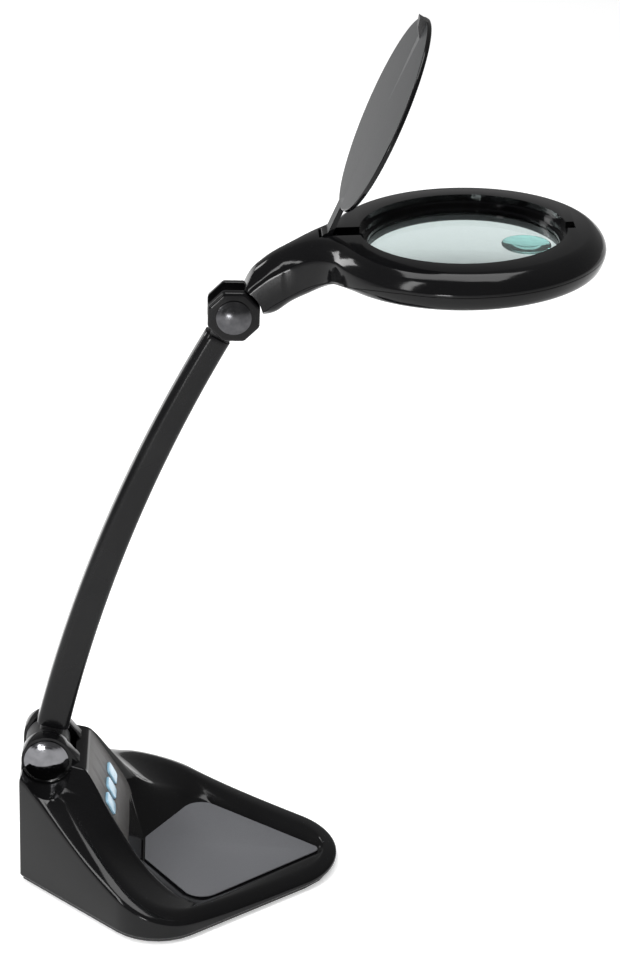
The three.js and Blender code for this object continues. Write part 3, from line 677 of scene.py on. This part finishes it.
def sideways(outline, low, high):
    """A side outline of (x, z) pairs pushed across from low to high."""
    return skin([[Vector((x, y, z)) for x, z in outline] for y in (high, low)])


def span(side, near, far):
    """The low and high ends, across the lamp, of a stretch on one side of it."""
    return sorted((side * near, side * far))


print("cutting shapes ready")

# %% [markdown]
# The tray base is one moulding: a diamond rim that swells into two side arms, a steep panel between
# them and a dished floor. Each ring of the skin is the same diamond with other corners, and its height
# falls away from back to front. Easing the profile at every point of the rim gives the soft swells that
# make black plastic catch the light.

# %% Heights along the base
base_low, base_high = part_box("base_shell")
base_back = (hinge_pin.y - base_high.y) / MM
base_bottom = base_low.z / MM
edge_low, edge_high, edge_reach = 6.2, 66.0, 48.0
crest_inset, crest_rise, arm_rise, arm_start, arm_reach = 8, 1.6, 16.0, 7, 45
floor_height, fold_height, panel_top_height = 5.0, 28.0, 72.0
floor_x, fold_x, panel_top_x = 54, 44.5, 22.0
panel_lip, panel_reach, fold_lip, fold_reach = 0.6, 25, 1.2, 22
steep, round_shoulder = 1.35, 1.6


def falling(x, start, reach, power):
    """A smooth fall from 1 to 0 as x passes forward from start."""
    return math.exp(-(max(0.0, (x - start) / reach) ** power))


def edge_at(x):
    return edge_low + (edge_high - edge_low) * falling(x, base_back, edge_reach, steep)


def crest_at(x):
    arm_fall = falling(x, base_back + arm_start, arm_reach, round_shoulder)
    return edge_at(x) + crest_rise + arm_rise * arm_fall


def panel_top_at(x):
    drop = panel_top_height - edge_low - panel_lip
    return edge_low + panel_lip + drop * falling(x, panel_top_x, panel_reach, steep)


def fold_at(x):
    drop = fold_height - floor_height - fold_lip
    return floor_height + fold_lip + drop * falling(x, fold_x, fold_reach, round_shoulder)


print(f"base from {base_back:.1f} mm at the back; rim {edge_low} to {edge_high} mm high")

# %% [markdown]
# In plan every ring is a diamond with its back corner cut off. The outline is the outermost one, the
# mat's hollow the innermost, and the rings between them make the crest, the panel and its foot.

# %% Base blank
corner_steps, side_steps = 22, 16
half_slope, side_slope, front_slope = 0.42, 1.36, 1.68


def diamond(back, back_half, back_radius, side_x, side_y, side_radius, front, front_radius, height):
    """One ring of the base: a symmetric diamond plan at a height that depends on x."""
    plan = rounded_polygon([
        (back, -back_half, back_radius), (side_x, -side_y, side_radius), (front, 0, front_radius),
        (side_x, side_y, side_radius), (back, back_half, back_radius)], corner_steps, side_steps)
    return [Vector((p.x, p.y, height(p.x))) for p in plan]


def outline_ring(inset, height):
    """The base's outline moved in by inset; the slopes keep its sides parallel."""
    return diamond(base_back + inset, 26 - half_slope * inset, 2.0,
                   60, 101 - side_slope * inset, 33 - inset,
                   196 - front_slope * inset, 45 - inset, height)


base_rings = [
    outline_ring(0.6, lambda x: base_bottom),
    outline_ring(0, lambda x: base_bottom + 0.8),
    outline_ring(0, edge_at),
    outline_ring(crest_inset, crest_at),
    diamond(panel_top_x, 24, 4, 78, 68, 22, 164, 8, panel_top_at),
    diamond(fold_x, 36, 4, 81, 63, 18, 161.5, 6.5, fold_at),
    diamond(floor_x, 12, 4, 85, 58, 13, 159, 5, lambda x: floor_height),
]
base_radii = [0.4, 2.6, 8.0, 3.0, 7.0]
profiles = [eased([ring[i] for ring in base_rings], base_radii) for i in range(len(base_rings[0]))]
base_shell = Solid(skin([list(ring) for ring in zip(*profiles)]), lamp_frame, "base_shell")
print("base blank:", len(base_shell.object.data.vertices), "points")

# %% [markdown]
# Two round ears hold the arm's bolt. They are joined to the blank, then the slot between them, the bore,
# the bolt's pockets and the scoop that keeps each ear's outer face clear are cut.

# %% Ears
ear_radius, ear_inner, ear_thickness = 14.0, 9.4, 8.6
ear_outer = ear_inner + ear_thickness
ear_front, ear_foot, ear_turns = panel_top_x - 1.5, panel_top_height - 10, 40
bolt_bore, bolt_pocket, pocket_depth, scoop_gap, scoop_depth = 4.3, 7.1, 4.4, 0.3, 20
ear_outline = [(ear_radius * math.cos(a), hinge_z + ear_radius * math.sin(a))
               for a in (math.pi - (math.pi - 0.6) * i / ear_turns for i in range(ear_turns + 1))]
ear_outline += [(ear_front, panel_top_height - 2), (ear_front, ear_foot), (-ear_radius, ear_foot)]
for side in (-1, 1):
    base_shell.join(sideways(ear_outline, *span(side, ear_inner - 1, ear_outer)))
slot_floor, slot_front = hinge_z - ear_radius - 0.8, panel_top_x - 6
base_shell.cut(slab(base_back - 5, slot_front, -ear_inner, ear_inner, slot_floor, 120))
base_shell.cut(cross_rod(0, hinge_z, bolt_bore, -ear_outer - 9, ear_outer + 9))
for side in (-1, 1):
    for radius, near, steps in ((ear_radius + scoop_gap, ear_outer, 128),
                                (bolt_pocket, ear_outer - pocket_depth, 96)):
        low, high = span(side, near, ear_outer + scoop_depth)
        base_shell.cut(cross_rod(0, hinge_z, radius, low, high, steps))
print("ears:", ear_inner, "to", ear_outer, "mm from the middle")

# %% [markdown]
# Three windows let the keys through the sloping panel. Behind it the base is hollow for the control board
# and the ballast, with a round hole at the back for the supply.

# %% Key windows and cavity
panel_slope = math.atan2(panel_top_height - fold_height, fold_x - panel_top_x)
key_along = 0.396
key_spot = Vector((fold_x, 0, fold_height)).lerp(Vector((panel_top_x, 0, panel_top_height)),
                                                 key_along)
panel_frame = lamp_frame @ shift(key_spot) @ Matrix.Rotation(panel_slope, 4, "Y")
key_pitch, key_wide, key_tall = 16.7, 12.0, 10.5
window_gap = 0.3


def key_outline(wide, tall, radius, z, steps=10):
    """A key's outline in the panel's frame: x down the slope, y across, z out of the panel."""
    return [Vector((p.x, p.y, z)) for p in rounded_oblong(tall, wide, radius, steps)]


key_names = {"right": -key_pitch, "middle": 0.0, "left": key_pitch}
for across in key_names.values():
    window = skin([key_outline(key_wide + 2 * window_gap, key_tall + 2 * window_gap, 2.6, z)
                   for z in (-4.5, 6)])
    base_shell.cut(Solid(window, panel_frame @ shift((0, across, 0))))
panel_wall, back_wall, cavity_half, cavity_top, cavity_top_x = 3.0, 4, 24.6, 51.7, 32.3
cavity_lift = panel_wall / math.sin(panel_slope)
rear_cavity = [(base_back + back_wall, base_bottom - 2), (fold_x - 2.5, base_bottom - 2),
               (fold_x - cavity_lift, fold_height), (cavity_top_x - cavity_lift, cavity_top),
               (base_back + back_wall, cavity_top)]
base_shell.cut(sideways(rear_cavity, -cavity_half, cavity_half))
inlet_radius, inlet_height = 5.2, 14
inlet_points, inlet_faces = rod(inlet_radius, base_back - 4, base_back + 6)
inlet_points = [Vector((p.z, p.x, p.y + inlet_height)) for p in inlet_points]
base_shell.cut((inlet_points, inlet_faces))
print(f"key panel slopes {math.degrees(panel_slope):.1f} degrees")

# %% [markdown]
# The moulding takes the gloss all over. Only the flat faces of the key panel, found by their place and
# direction in the panel's own frame, take the satin.

# %% Finish of the base
panel_half_length, panel_skin, panel_facing = 24, 1.2, 0.9
base_piece = finished(base_shell, "base_moulding", black_gloss, "base", ["base_shell"],
                      bevel=0.35)
base_piece.data.materials.append(satin_panel)
into_panel = panel_frame.inverted()
for polygon in base_piece.data.polygons:
    spot = into_panel @ polygon.center
    facing = abs((into_panel.to_3x3() @ polygon.normal).normalized().z)
    if abs(spot.z) < panel_skin and abs(spot.x) < panel_half_length and facing > panel_facing:
        polygon.material_index = 1

# %% [markdown]
# The mat lies in the dished floor. Its edge is rolled, so a thin line of light runs round it.

# %% Tray mat
mat_low, mat_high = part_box("tray_mat")
mat_bottom, mat_top = mat_low.z / MM, mat_high.z / MM
mat_margin = 1.2


def mat_ring(inset, z):
    return diamond(floor_x + mat_margin + inset, 11.5 - half_slope * inset, 4,
                   85, 56.4 - side_slope * inset, 12 - inset,
                   157 - front_slope * inset, 3.8 - inset, lambda x: z)


mat_stages = [(0.25, mat_bottom), (0, mat_bottom + 0.3), (0, mat_top - 0.35), (0.15, mat_top - 0.1),
              (0.5, mat_top)]
mat_solid = Solid(skin([mat_ring(inset, z) for inset, z in mat_stages]), lamp_frame, "mat")
finished(mat_solid, "grey_tray_mat", grey_mat, "base", ["tray_mat"])

# %% [markdown]
# Each key is a rounded oblong with a slightly domed face and a thin collar that keeps it in the panel.
# Rings of shrinking outlines make the dome, which catches a highlight as the real key does.

# %% Pearl keys
collar_radius, key_radius = 2.8, 2.4
key_shoulder, key_dome, key_pull, dome_steps = 0.5, 0.65, 1.7, 8


def key_cap(across, name):
    collar = (key_wide + 2.6, key_tall + 2, collar_radius)
    stem = (key_wide, key_tall, key_radius)
    rings = [key_outline(*collar, -4.6), key_outline(*collar, -3.5),
             key_outline(*stem, -3.45), key_outline(*stem, key_shoulder)]
    for step in range(1, dome_steps + 1):
        turn = step / dome_steps * math.pi / 2
        pull = key_pull * (1 - math.cos(turn))
        rings.append(key_outline(key_wide - pull, key_tall - pull, key_radius - pull * 0.3,
                                 key_shoulder + key_dome * math.sin(turn)))
    rings.append(key_outline(key_wide - 6, key_tall - 6, 1.2, 1.28))
    solid = Solid(skin(rings), panel_frame @ shift((0, across, 0)))
    finished(solid, f"key_cap_{name}", pearl_blue, f"key_{name}", [f"button_{name}"])


for name, across in key_names.items():
    key_cap(across, name)

# %% [markdown]
# The arm is a hollow bowed tube with a rounded oblong section that tapers towards the head. It follows
# one arc through both hinges, so a row of sections set square to that arc gives a surface with long
# clean highlights. The hinge blocks at its ends stay as they are inside the joints.

# %% Bowed arm
arm_bow = 11.0
chord = Vector((hub_x - hinge_x, hub_z - hinge_z))
arc_radius = (chord.length ** 2 / 4 + arm_bow ** 2) / (2 * arm_bow)
half_arc = math.asin(chord.length / 2 / arc_radius)
chord_angle = math.atan2(chord.y, chord.x)
chord_side = Vector((math.sin(chord_angle), -math.cos(chord_angle)))
arc_centre = chord / 2 + chord_side * (arc_radius - arm_bow)
arm_length = 2 * half_arc * arc_radius
arm_thick, arm_wide, arm_thinning, arm_narrowing = 18.4, 15, 4.2, 2.4


def arm_section(distance, grow, corner=4.2):
    """The arm's section at a distance from the base hinge, grown or shrunk on every side."""
    t = distance / arm_length
    angle = chord_angle + math.pi / 2 + half_arc * (1 - 2 * t)
    ahead = Vector((math.sin(angle), -math.cos(angle)))
    x = arc_centre.x + arc_radius * math.cos(angle)
    z = hinge_z + arc_centre.y + arc_radius * math.sin(angle)
    thick = arm_thick - arm_thinning * t + 2 * grow
    wide = arm_wide - arm_narrowing * t + 2 * grow
    radius = max(0.8, corner + grow)
    return [Vector((x + p.x * ahead.y, p.y, z - p.x * ahead.x))
            for p in rounded_oblong(thick, wide, radius, 10)]


def arm_stretch(start, end, grow, steps=90):
    return skin([arm_section(start + (end - start) * i / steps, grow) for i in range(steps + 1)])


arm_tube = Solid(arm_stretch(15, arm_length - 16.4, 0), lamp_frame)
arm_tube.cut(arm_stretch(13, arm_length - 14.4, -2.2))
finished(arm_tube, "bowed_arm", black_arm, "arm", ["arm_tube"], bevel=0.4, sharp=40)

# %% [markdown]
# A block fills each end of the arm and turns on its hinge bolt. It is a drum with rounded edges, joined to
# a stub of the arm's own section that is a little smaller than the tube, then bored.

# %% Hinge blocks
def hinge_block(name, x, z, radius, half, bore, start, end, node):
    """The round block that fills one end of the arm and turns on the bolt."""
    block = Solid(eased_drum(radius, half, 0.8, x, z), lamp_frame)
    stub = Solid(arm_stretch(start, end, -2.5, 8), lamp_frame)
    stub.keep(slab(-200, 400, -half, half, 0, 600))
    block.join(stub)
    block.cut(cross_rod(x, z, bore, -50, 50, 64))
    finished(block, name, black_textured, "arm", [node], bevel=0.2)


def eased_drum(radius, half, ease, x, z):
    """A drum across the lamp with rounded edges."""
    profile = eased_profile([(0, -half), (radius, -half), (radius, half), (0, half)], [ease, ease])
    return laid_across(turned(profile, 128), x, z)


hinge_block("arm_lower_block", hinge_x, hinge_z, 12.4, 7.9, bolt_bore, 6, 31, "arm_knuckle")
hinge_block("arm_upper_block", hub_x, hub_z, 9.6, 4.4, 3.3, arm_length - 32.4, arm_length - 6,
            "arm_eye")

# %% [markdown]
# The hub is a pair of octagonal cheeks. Their corners are rounded and their outer edges carry a broad
# chamfer, so each is skinned over the same octagon pulled in a little at its faces.

# %% Hub cheeks
cheek_low, cheek_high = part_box("hub_cheek_left")
cheek_inner, cheek_outer = cheek_low.x / MM, cheek_high.x / MM


hub_bore, cheek_pocket, octagon_reach, octagon_corner = 3.3, 5.9, 14.9, 3.0


def octagon(pull, y):
    turns = [math.radians(22.5 + 45 * i) for i in range(8)]
    corners = [((octagon_reach - pull) * math.cos(turn), (octagon_reach - pull) * math.sin(turn),
                octagon_corner) for turn in turns]
    return [Vector((hub_x + p.x, y, hub_z + p.y)) for p in rounded_polygon(corners, 8)]


for side, name in ((-1, "right"), (1, "left")):
    stages = [(0.3, cheek_inner), (0, cheek_inner + 0.3), (0, cheek_outer - 1.6), (0.35, cheek_outer - 0.7),
              (1.1, cheek_outer - 0.15), (2.0, cheek_outer)]
    cheek = Solid(skin([octagon(pull, side * y) for pull, y in stages]), lamp_frame)
    cheek.cut(cross_rod(hub_x, hub_z, hub_bore, -60, 60))
    low, high = span(side, cheek_outer - 2.6, 60)
    cheek.cut(cross_rod(hub_x, hub_z, cheek_pocket, low, high))
    finished(cheek, f"octagon_cheek_{name}", black_gloss, "head",
             [f"hub_cheek_{name}"])

# %% [markdown]
# Domed caps hide the bolts of both hinges: satin gunmetal at the hub and dark chrome at the base. A lathe
# profile with a low foot and a shallow dome is all they need, turned on its side. The dome's slope grows
# evenly from its middle, so a highlight sits on it as on the real one.

# %% Domed caps
cap_foot, cap_ease, cap_steps = 0.8, 0.3, 24


def domed_cap(node, name, radius, x, z, finish, body):
    low, high = (corner.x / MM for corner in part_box(node))
    side = 1 if low > 0 else -1
    foot, top = (low, high) if side > 0 else (-high, -low)
    height = top - foot
    dome = [(radius * math.cos(a), cap_foot + (height - cap_foot) * math.sin(a) ** 2)
            for a in (math.pi / 2 * i / cap_steps for i in range(cap_steps))]
    foot_edge = [(0, 0), (radius - cap_ease, 0), (radius, cap_ease)]
    points, faces = turned(foot_edge + dome + [(0, height)], 128)
    sideways_points = [Vector((x + p.x, side * (foot + p.z), z + p.y)) for p in points]
    cap = Solid((sideways_points, faces), lamp_frame)
    finished(cap, name, finish, body, [node], sharp=50)


for side in ("right", "left"):
    domed_cap(f"hub_cap_{side}", f"hub_dome_{side}", 9.3, hub_x, hub_z, gunmetal, "head")
    domed_cap(f"base_hinge_cap_{side}", f"base_dome_{side}", 12.4, hinge_x, hinge_z, dark_chrome,
              "base")

# %% [markdown]
# The head's two shells are one smooth shape split along a seam. Three smooth height lines say how its
# crown, seam and underside fall away along the neck towards the hub.

# %% Heights along the head
ring_radius, recess_radius, seam_depth, ring_depth = 75.0, 54.4, 11.0, 20.0
hub_point = ring_frame.inverted() @ head_pin
hub_local_x, hub_local_z = hub_point.x, hub_point.z


def height_line(pairs):
    """A smooth curve through (distance from the hub, height) pairs."""
    def slope(i):
        (x0, z0), (x1, z1) = pairs[max(i - 1, 0)], pairs[min(i + 1, len(pairs) - 1)]
        return (z1 - z0) / (x1 - x0)

    def height(x):
        spot = min(max(x - hub_local_x, pairs[0][0]), pairs[-1][0] - 1e-6)
        i = max(k for k in range(len(pairs) - 1) if pairs[k][0] <= spot)
        (x0, z0), (x1, z1) = pairs[i], pairs[i + 1]
        width = x1 - x0
        t = (spot - x0) / width
        return (z0 * (1 + 2 * t) * (1 - t) ** 2 + slope(i) * width * t * (1 - t) ** 2
                + z1 * t * t * (3 - 2 * t) - slope(i + 1) * width * t * t * (1 - t))
    return height


crown = height_line([(3, -26), (7, -21.8), (12, -17.6), (20, -11.7), (30, -6.5), (41, -2), (50, -0.2),
                     (58, 0)])
seam = height_line([(3, -33), (9, -38), (15, -40), (20, -36.5), (30, -30.6), (40, -24.6), (50, -19.5),
                    (60, -15.5), (72, -12.4), (85, -seam_depth)])
under = height_line([(3, -36), (9, -41), (15, -43), (22, -41.5), (30, -36), (40, -30.2), (47, -25.6),
                     (54, -21.6), (62, -ring_depth)])
print(f"hub is {hub_local_x:.1f}, {hub_local_z:.1f} from the ring's centre")

# %% [markdown]
# In plan the head is the ring with the neck flaring into it on both sides. Only half of it is worked out,
# from the neck's end to the ring's front, and the other half is its mirror image.

# %% Head in plan
neck_half, neck_fillet, neck_taper = 12.0, 30.0, 0.2
neck_start, neck_corner = 4, 4


def arc(x, y, radius, start, end, steps):
    return [(x + radius * math.cos(start + (end - start) * k / steps),
             y + radius * math.sin(start + (end - start) * k / steps)) for k in range(steps + 1)]


def head_outline(pull):
    """The head in plan, pulled in: neck end, neck side, flare and ring, then the same mirrored."""
    end = hub_local_x + neck_start + pull
    corner = max(0.5, neck_corner - pull)
    side = neck_half - pull
    flare_x = -math.sqrt((ring_radius + neck_fillet) ** 2 - (neck_half + neck_fillet) ** 2)
    flare_y = -neck_half - neck_fillet
    meet = math.atan2(-flare_y, -flare_x)
    half = arc(end + corner, corner - side, corner, math.pi, 1.5 * math.pi, 10)
    half += [(end + corner + (flare_x - end - corner) * k / 24, -side) for k in range(1, 24)]
    half += arc(flare_x, flare_y, neck_fillet + pull, math.pi / 2, meet, 28)
    half += arc(0, 0, ring_radius - pull, meet - math.pi, 0, 110)[1:]
    near = [(x, y * (1 - neck_taper * min(max((flare_x - x) / (flare_x - end), 0), 1)))
            for x, y in half]
    return near + [(x, -y) for x, y in reversed(near[:-1])]


print("head outline:", len(head_outline(0)), "points")

# %% [markdown]
# Each ring of the skin is that plan pulled in a little further, from the underside over the seam to the
# crown. Easing each lengthwise profile rounds the section. The flat ends are closed with strips across
# the plan, because one long curved polygon would fold over itself. The same blank, pulled in by the
# wall's thickness, is the hollow.

# %% Head blank
section_steps = [
    (7.5, under), (4.8, lambda x: under(x) + 0.4), (2, lambda x: under(x) + 2.4),
    (0, seam), (0.6, lambda x: max(seam(x) + 0.5, crown(x) - 8.2)),
    (2.2, lambda x: crown(x) - 5), (5.2, lambda x: crown(x) - 2), (7, lambda x: crown(x) - 0.8),
    (9, crown),
]
section_radii = [6, 6, 6, 2, 4, 5, 1.6, 4]


def head_blank(pull):
    """Ring and neck as one closed body; pull draws every face in by the same amount."""
    rings = []
    last = len(section_steps) - 1
    for k, (inset, height) in enumerate(section_steps):
        lift = pull * (k < 3) - pull * (k >= last - 1)
        squeeze = pull * 0.6 if 3 < k < last - 1 else 0
        rings.append([Vector((x, y, height(x) + lift - squeeze))
                      for x, y in head_outline(min(inset + pull, neck_half - 1))])
    profiles = [eased([ring[i] for ring in rings], section_radii, 3) for i in range(len(rings[0]))]
    rings = [list(ring) for ring in zip(*profiles)]
    points, faces = skin(rings, closed_ends=False)
    count = len(rings[0])
    for offset in (0, (len(rings) - 1) * count):
        for i in range((count - 1) // 2):
            strip = [offset + i, offset + i + 1, offset + count - 2 - i, offset + count - 1 - i]
            faces.append(tuple(dict.fromkeys(strip)))
    return points, faces


def seam_side(towards, offset):
    """Everything above (1) or below (-1) the seam, moved down by an offset."""
    line = [(x, seam(x) - offset) for x in (-140 + 1.5 * i for i in range(153))]
    far = 60 if towards > 0 else -90
    return sideways(line + [(line[-1][0], far), (line[0][0], far)], -90, 90)


print("head sections:", len(section_steps))

# %% [markdown]
# Cutting comes last. The upper shell gets the recess that the cover closes into, the step it rests on,
# the ledge over the lens, the slot for the cover's tongue and a finger notch at the front.

# %% Upper head shell
wall, gap = 2.2, 0.3
lens_top, lens_edge, lens_opening = 9.4, 2.6, 50.4
cover_pin_bore, tongue_half = 1.6, 6
hub_clearance = cross_rod(hub_local_x, hub_local_z, 15.2, -40, 40, 96)

upper = Solid(head_blank(0), ring_frame).cut(head_blank(wall))
boss = Solid(slab(-cover_reach - 7, -recess_radius - 1, -10, 10, -9, 0), ring_frame)
boss.keep(head_blank(0.6))
upper.join(boss).keep(seam_side(1, 0))
upper.cut(rod(recess_radius, -60, 40, 220))
collar = [(recess_radius, -1), (recess_radius, -3.6), (recess_radius - 0.5, -3.6), (recess_radius - 2, -4),
          (lens_opening + 1.8, -lens_top + 2.4), (lens_opening, -lens_top + 1.9),
          (lens_opening, -lens_top + gap),
          (recess_radius + 2.6, -lens_top + gap), (recess_radius + 2.6, -1)]
upper.join(turned(collar, 220))
upper.cut(slab(-cover_reach - 4.3, -recess_radius + 3, -6.45, 6.45, -7.4, 20))
upper.cut(cross_rod(-cover_reach, -cover_sink, cover_pin_bore, -12, 8.4, 48))
upper.cut(slab(recess_radius - 6, recess_radius + 4, -5, 5, -3.6, 10))
upper.cut(hub_clearance)
finished(upper, "head_moulding_upper", black_gloss, "head", ["head_upper_shell"],
         bevel=0.3)

# %% [markdown]
# The lower shell is what one sees under the ring. It leaves a round opening for the light ring, and four
# hollow posts take the screws that hold the two shells together.

# %% Lower head shell
light_opening, post_reach = 65.9, 69.2
lower = Solid(head_blank(0), ring_frame).cut(head_blank(wall))
lower.keep(seam_side(-1, gap))
lower.cut(rod(light_opening, -90, 40, 220))
for turn in (math.radians(degrees) for degrees in (45, 135, 225, 315)):
    spot = shift((post_reach * math.cos(turn), post_reach * math.sin(turn), 0))
    lower.join(Solid(rod(2.6, -17.9, -11.3, 48), ring_frame @ spot))
    lower.cut(Solid(rod(1.4, -40, 0, 32), ring_frame @ spot))
    lower.cut(Solid(rod(2.3, -40, -16.4, 48), ring_frame @ spot))
lower.cut(hub_clearance)
finished(lower, "head_moulding_lower", black_gloss, "head", ["head_lower_shell"],
         bevel=0.25)

# %% [markdown]
# The big lens is shallow-domed on top and flat below, with a small strong lens bonded under it near the
# front. Both are lathes with a true curve, as a faceted lens would break up what is seen through it.

# %% Lenses
def lens_profile(radius, top, edge, bulge_up, bulge_down, steps=28):
    low = [(radius * k / steps, top - edge - bulge_down * (1 - (k / steps) ** 2)) for k in range(steps)]
    high = [(radius * k / steps, top + bulge_up * (1 - (k / steps) ** 2)) for k in range(steps)]
    return low + [(radius - 0.2, top - edge), (radius, top - edge + 0.2), (radius, top - 0.2),
                  (radius - 0.2, top)] + list(reversed(high))


lens_radius, insert_radius = lens_opening + 1.6, 13
main_lens = Solid(turned(lens_profile(lens_radius, -lens_top, lens_edge, 2.3, 0), 200), ring_frame)
finished(main_lens, "main_lens", clear_glass, "head", ["lens"])
insert_spot = ring_frame @ shift((33, 0, 0))
insert_profile = lens_profile(insert_radius, -lens_top - lens_edge - gap, 0.9, 0, 2.4)
insert_lens = Solid(turned(insert_profile, 120), insert_spot)
finished(insert_lens, "strong_insert_lens", insert_glass, "head", ["insert_lens"])

# %% [markdown]
# Under the lens sit a black frame, a frosted light ring and, behind it, the board with its chips. The
# ring's edges are rounded so that they pick up the light from below.

# %% Lens frame and light ring
frame_ring = eased_profile([(lens_opening, -12.3), (56.3, -12.3), (56.3, -19.8), (54.3, -20), (51.2, -18),
                            (lens_opening, -14.6), (lens_opening, -12.5)], [0.3, 0.3, 0.6, 0.8, 0.4])
bezel = Solid(turned(frame_ring, 200), ring_frame)
finished(bezel, "lens_bezel", black_textured, "head", ["lens_frame"])
diffuser_ring = eased_profile([(56.6, -18.4), (56.6, -19.8), (65.6, -19.8), (65.6, -18.2), (56.6, -18.2),
                               (56.6, -18.35)], [0.5, 0.5, 0.3, 0.3], 4)
light_ring = Solid(turned(diffuser_ring, 200), ring_frame)
finished(light_ring, "frosted_light_ring", light_white, "head", ["diffuser"])
light_board = Solid(turned([(56.6, -14.2), (66, -14.2), (66, -12.8), (56.6, -12.8)], 160), ring_frame)
light_chips = 24
for k in range(light_chips):
    turn = ring_frame @ Matrix.Rotation(2 * math.pi * k / light_chips, 4, "Z")
    light_board.join(Solid(slab(59.6, 62.4, -1.4, 1.4, -14.9, -14.0), turn))
finished(light_board, "light_board", light_white, "head", ["led_board"])

# %% [markdown]
# The cover is a thin disc with satin faces and a gloss rim, a tongue that ends in the hinge knuckle, and
# a small finger tab at its tip. It is one moulding, so the black runs from the rim down the tongue.

# %% Lens cover
cover_radius, cover_half = recess_radius - 0.8, 1.3


disc = eased_profile([(0, -cover_half), (cover_radius - 0.5, -cover_half), (cover_radius, -cover_half + 0.5),
                      (cover_radius, cover_half - 0.5), (cover_radius - 0.5, cover_half), (0, cover_half)],
                     [0.4, 0.4, 0.4, 0.4])
cover = Solid(turned(disc, 220), cover_frame @ shift((cover_reach, 0, 0)))
cover.frame = cover_frame
tongue_end = cover_reach - cover_radius + 6
tongue_plan = [(0, -tongue_half, 0.5), (tongue_end, -tongue_half, 0.5), (tongue_end, tongue_half, 0.5),
               (0, tongue_half, 0.5)]
tongue = [[Vector((p.x, p.y, z)) for p in rounded_polygon(tongue_plan, 4)]
          for z in (-cover_half, cover_half)]
cover.join(skin(tongue))
cover.join(cross_rod(0, 0, 3.3, -tongue_half, tongue_half, 96))
tip = cover_reach + cover_radius
tab = [(tip - 10, cover_half - 0.2), (tip - 4, cover_half - 0.2), (tip - 0.4, -cover_half + 0.4),
       (tip, cover_half), (tip + 0.6, cover_half + 4.4), (tip - 4.4, cover_half + 3.2)]
cover.join(sideways(tab, -3.6, 3.6))
cover.cut(cross_rod(0, 0, cover_pin_bore, -20, 20, 48))
cover_piece = finished(cover, "lens_cover_disc", black_gloss, "cover", ["lens_cover"],
                       bevel=0.25)

# %% [markdown]
# The cover's finishes are told apart by where each polygon lies in the cover's own frame: satin on the
# disc's two flat faces, textured black on the tab, and gloss on the rest.

# %% Finishes of the cover
rim_width, tab_length = 0.4, 11
cover_piece.data.materials.append(satin_grey)
cover_piece.data.materials.append(black_textured)
into_cover = cover_frame.inverted()
for polygon in cover_piece.data.polygons:
    spot = into_cover @ polygon.center
    out_from_centre = math.hypot(spot.x - cover_reach, spot.y)
    if abs(abs(spot.z) - cover_half) < 0.05 and out_from_centre < cover_radius - rim_width:
        polygon.material_index = 1
    elif spot.x > tip - tab_length and spot.z > cover_half - 0.1:
        polygon.material_index = 2
print("cover finishes:", [material.name for material in cover_piece.data.materials])

# %% [markdown]
# What is left of the frame keeps its own shape: plates, screws, bolts, boards and feet. Each takes its
# slot's finish on its own mesh.

# %% Finishes for the working pieces
slot_finish = {
    "black_gloss": black_gloss, "black_matte": black_textured, "black_plate": black_textured,
    "cast_iron": cast_iron, "steel": zinc, "rubber": foot_rubber, "board": board_green,
    "led_white": light_white, "frosted": light_white, "gunmetal": gunmetal, "dark_dome": dark_chrome,
    "grey_mat": grey_mat, "grey_cover": satin_grey, "pearl": pearl_blue, "clear": clear_glass,
}
slot_of = {part["node"]: part["material_slot"] for part in frame["record"]["subparts"]}
for name, node in frame["nodes"].items():
    node.data.materials.clear()
    node.data.materials.append(slot_finish[slot_of[name]])
print("finished", len(frame["nodes"]), "nodes")

# %% [markdown]
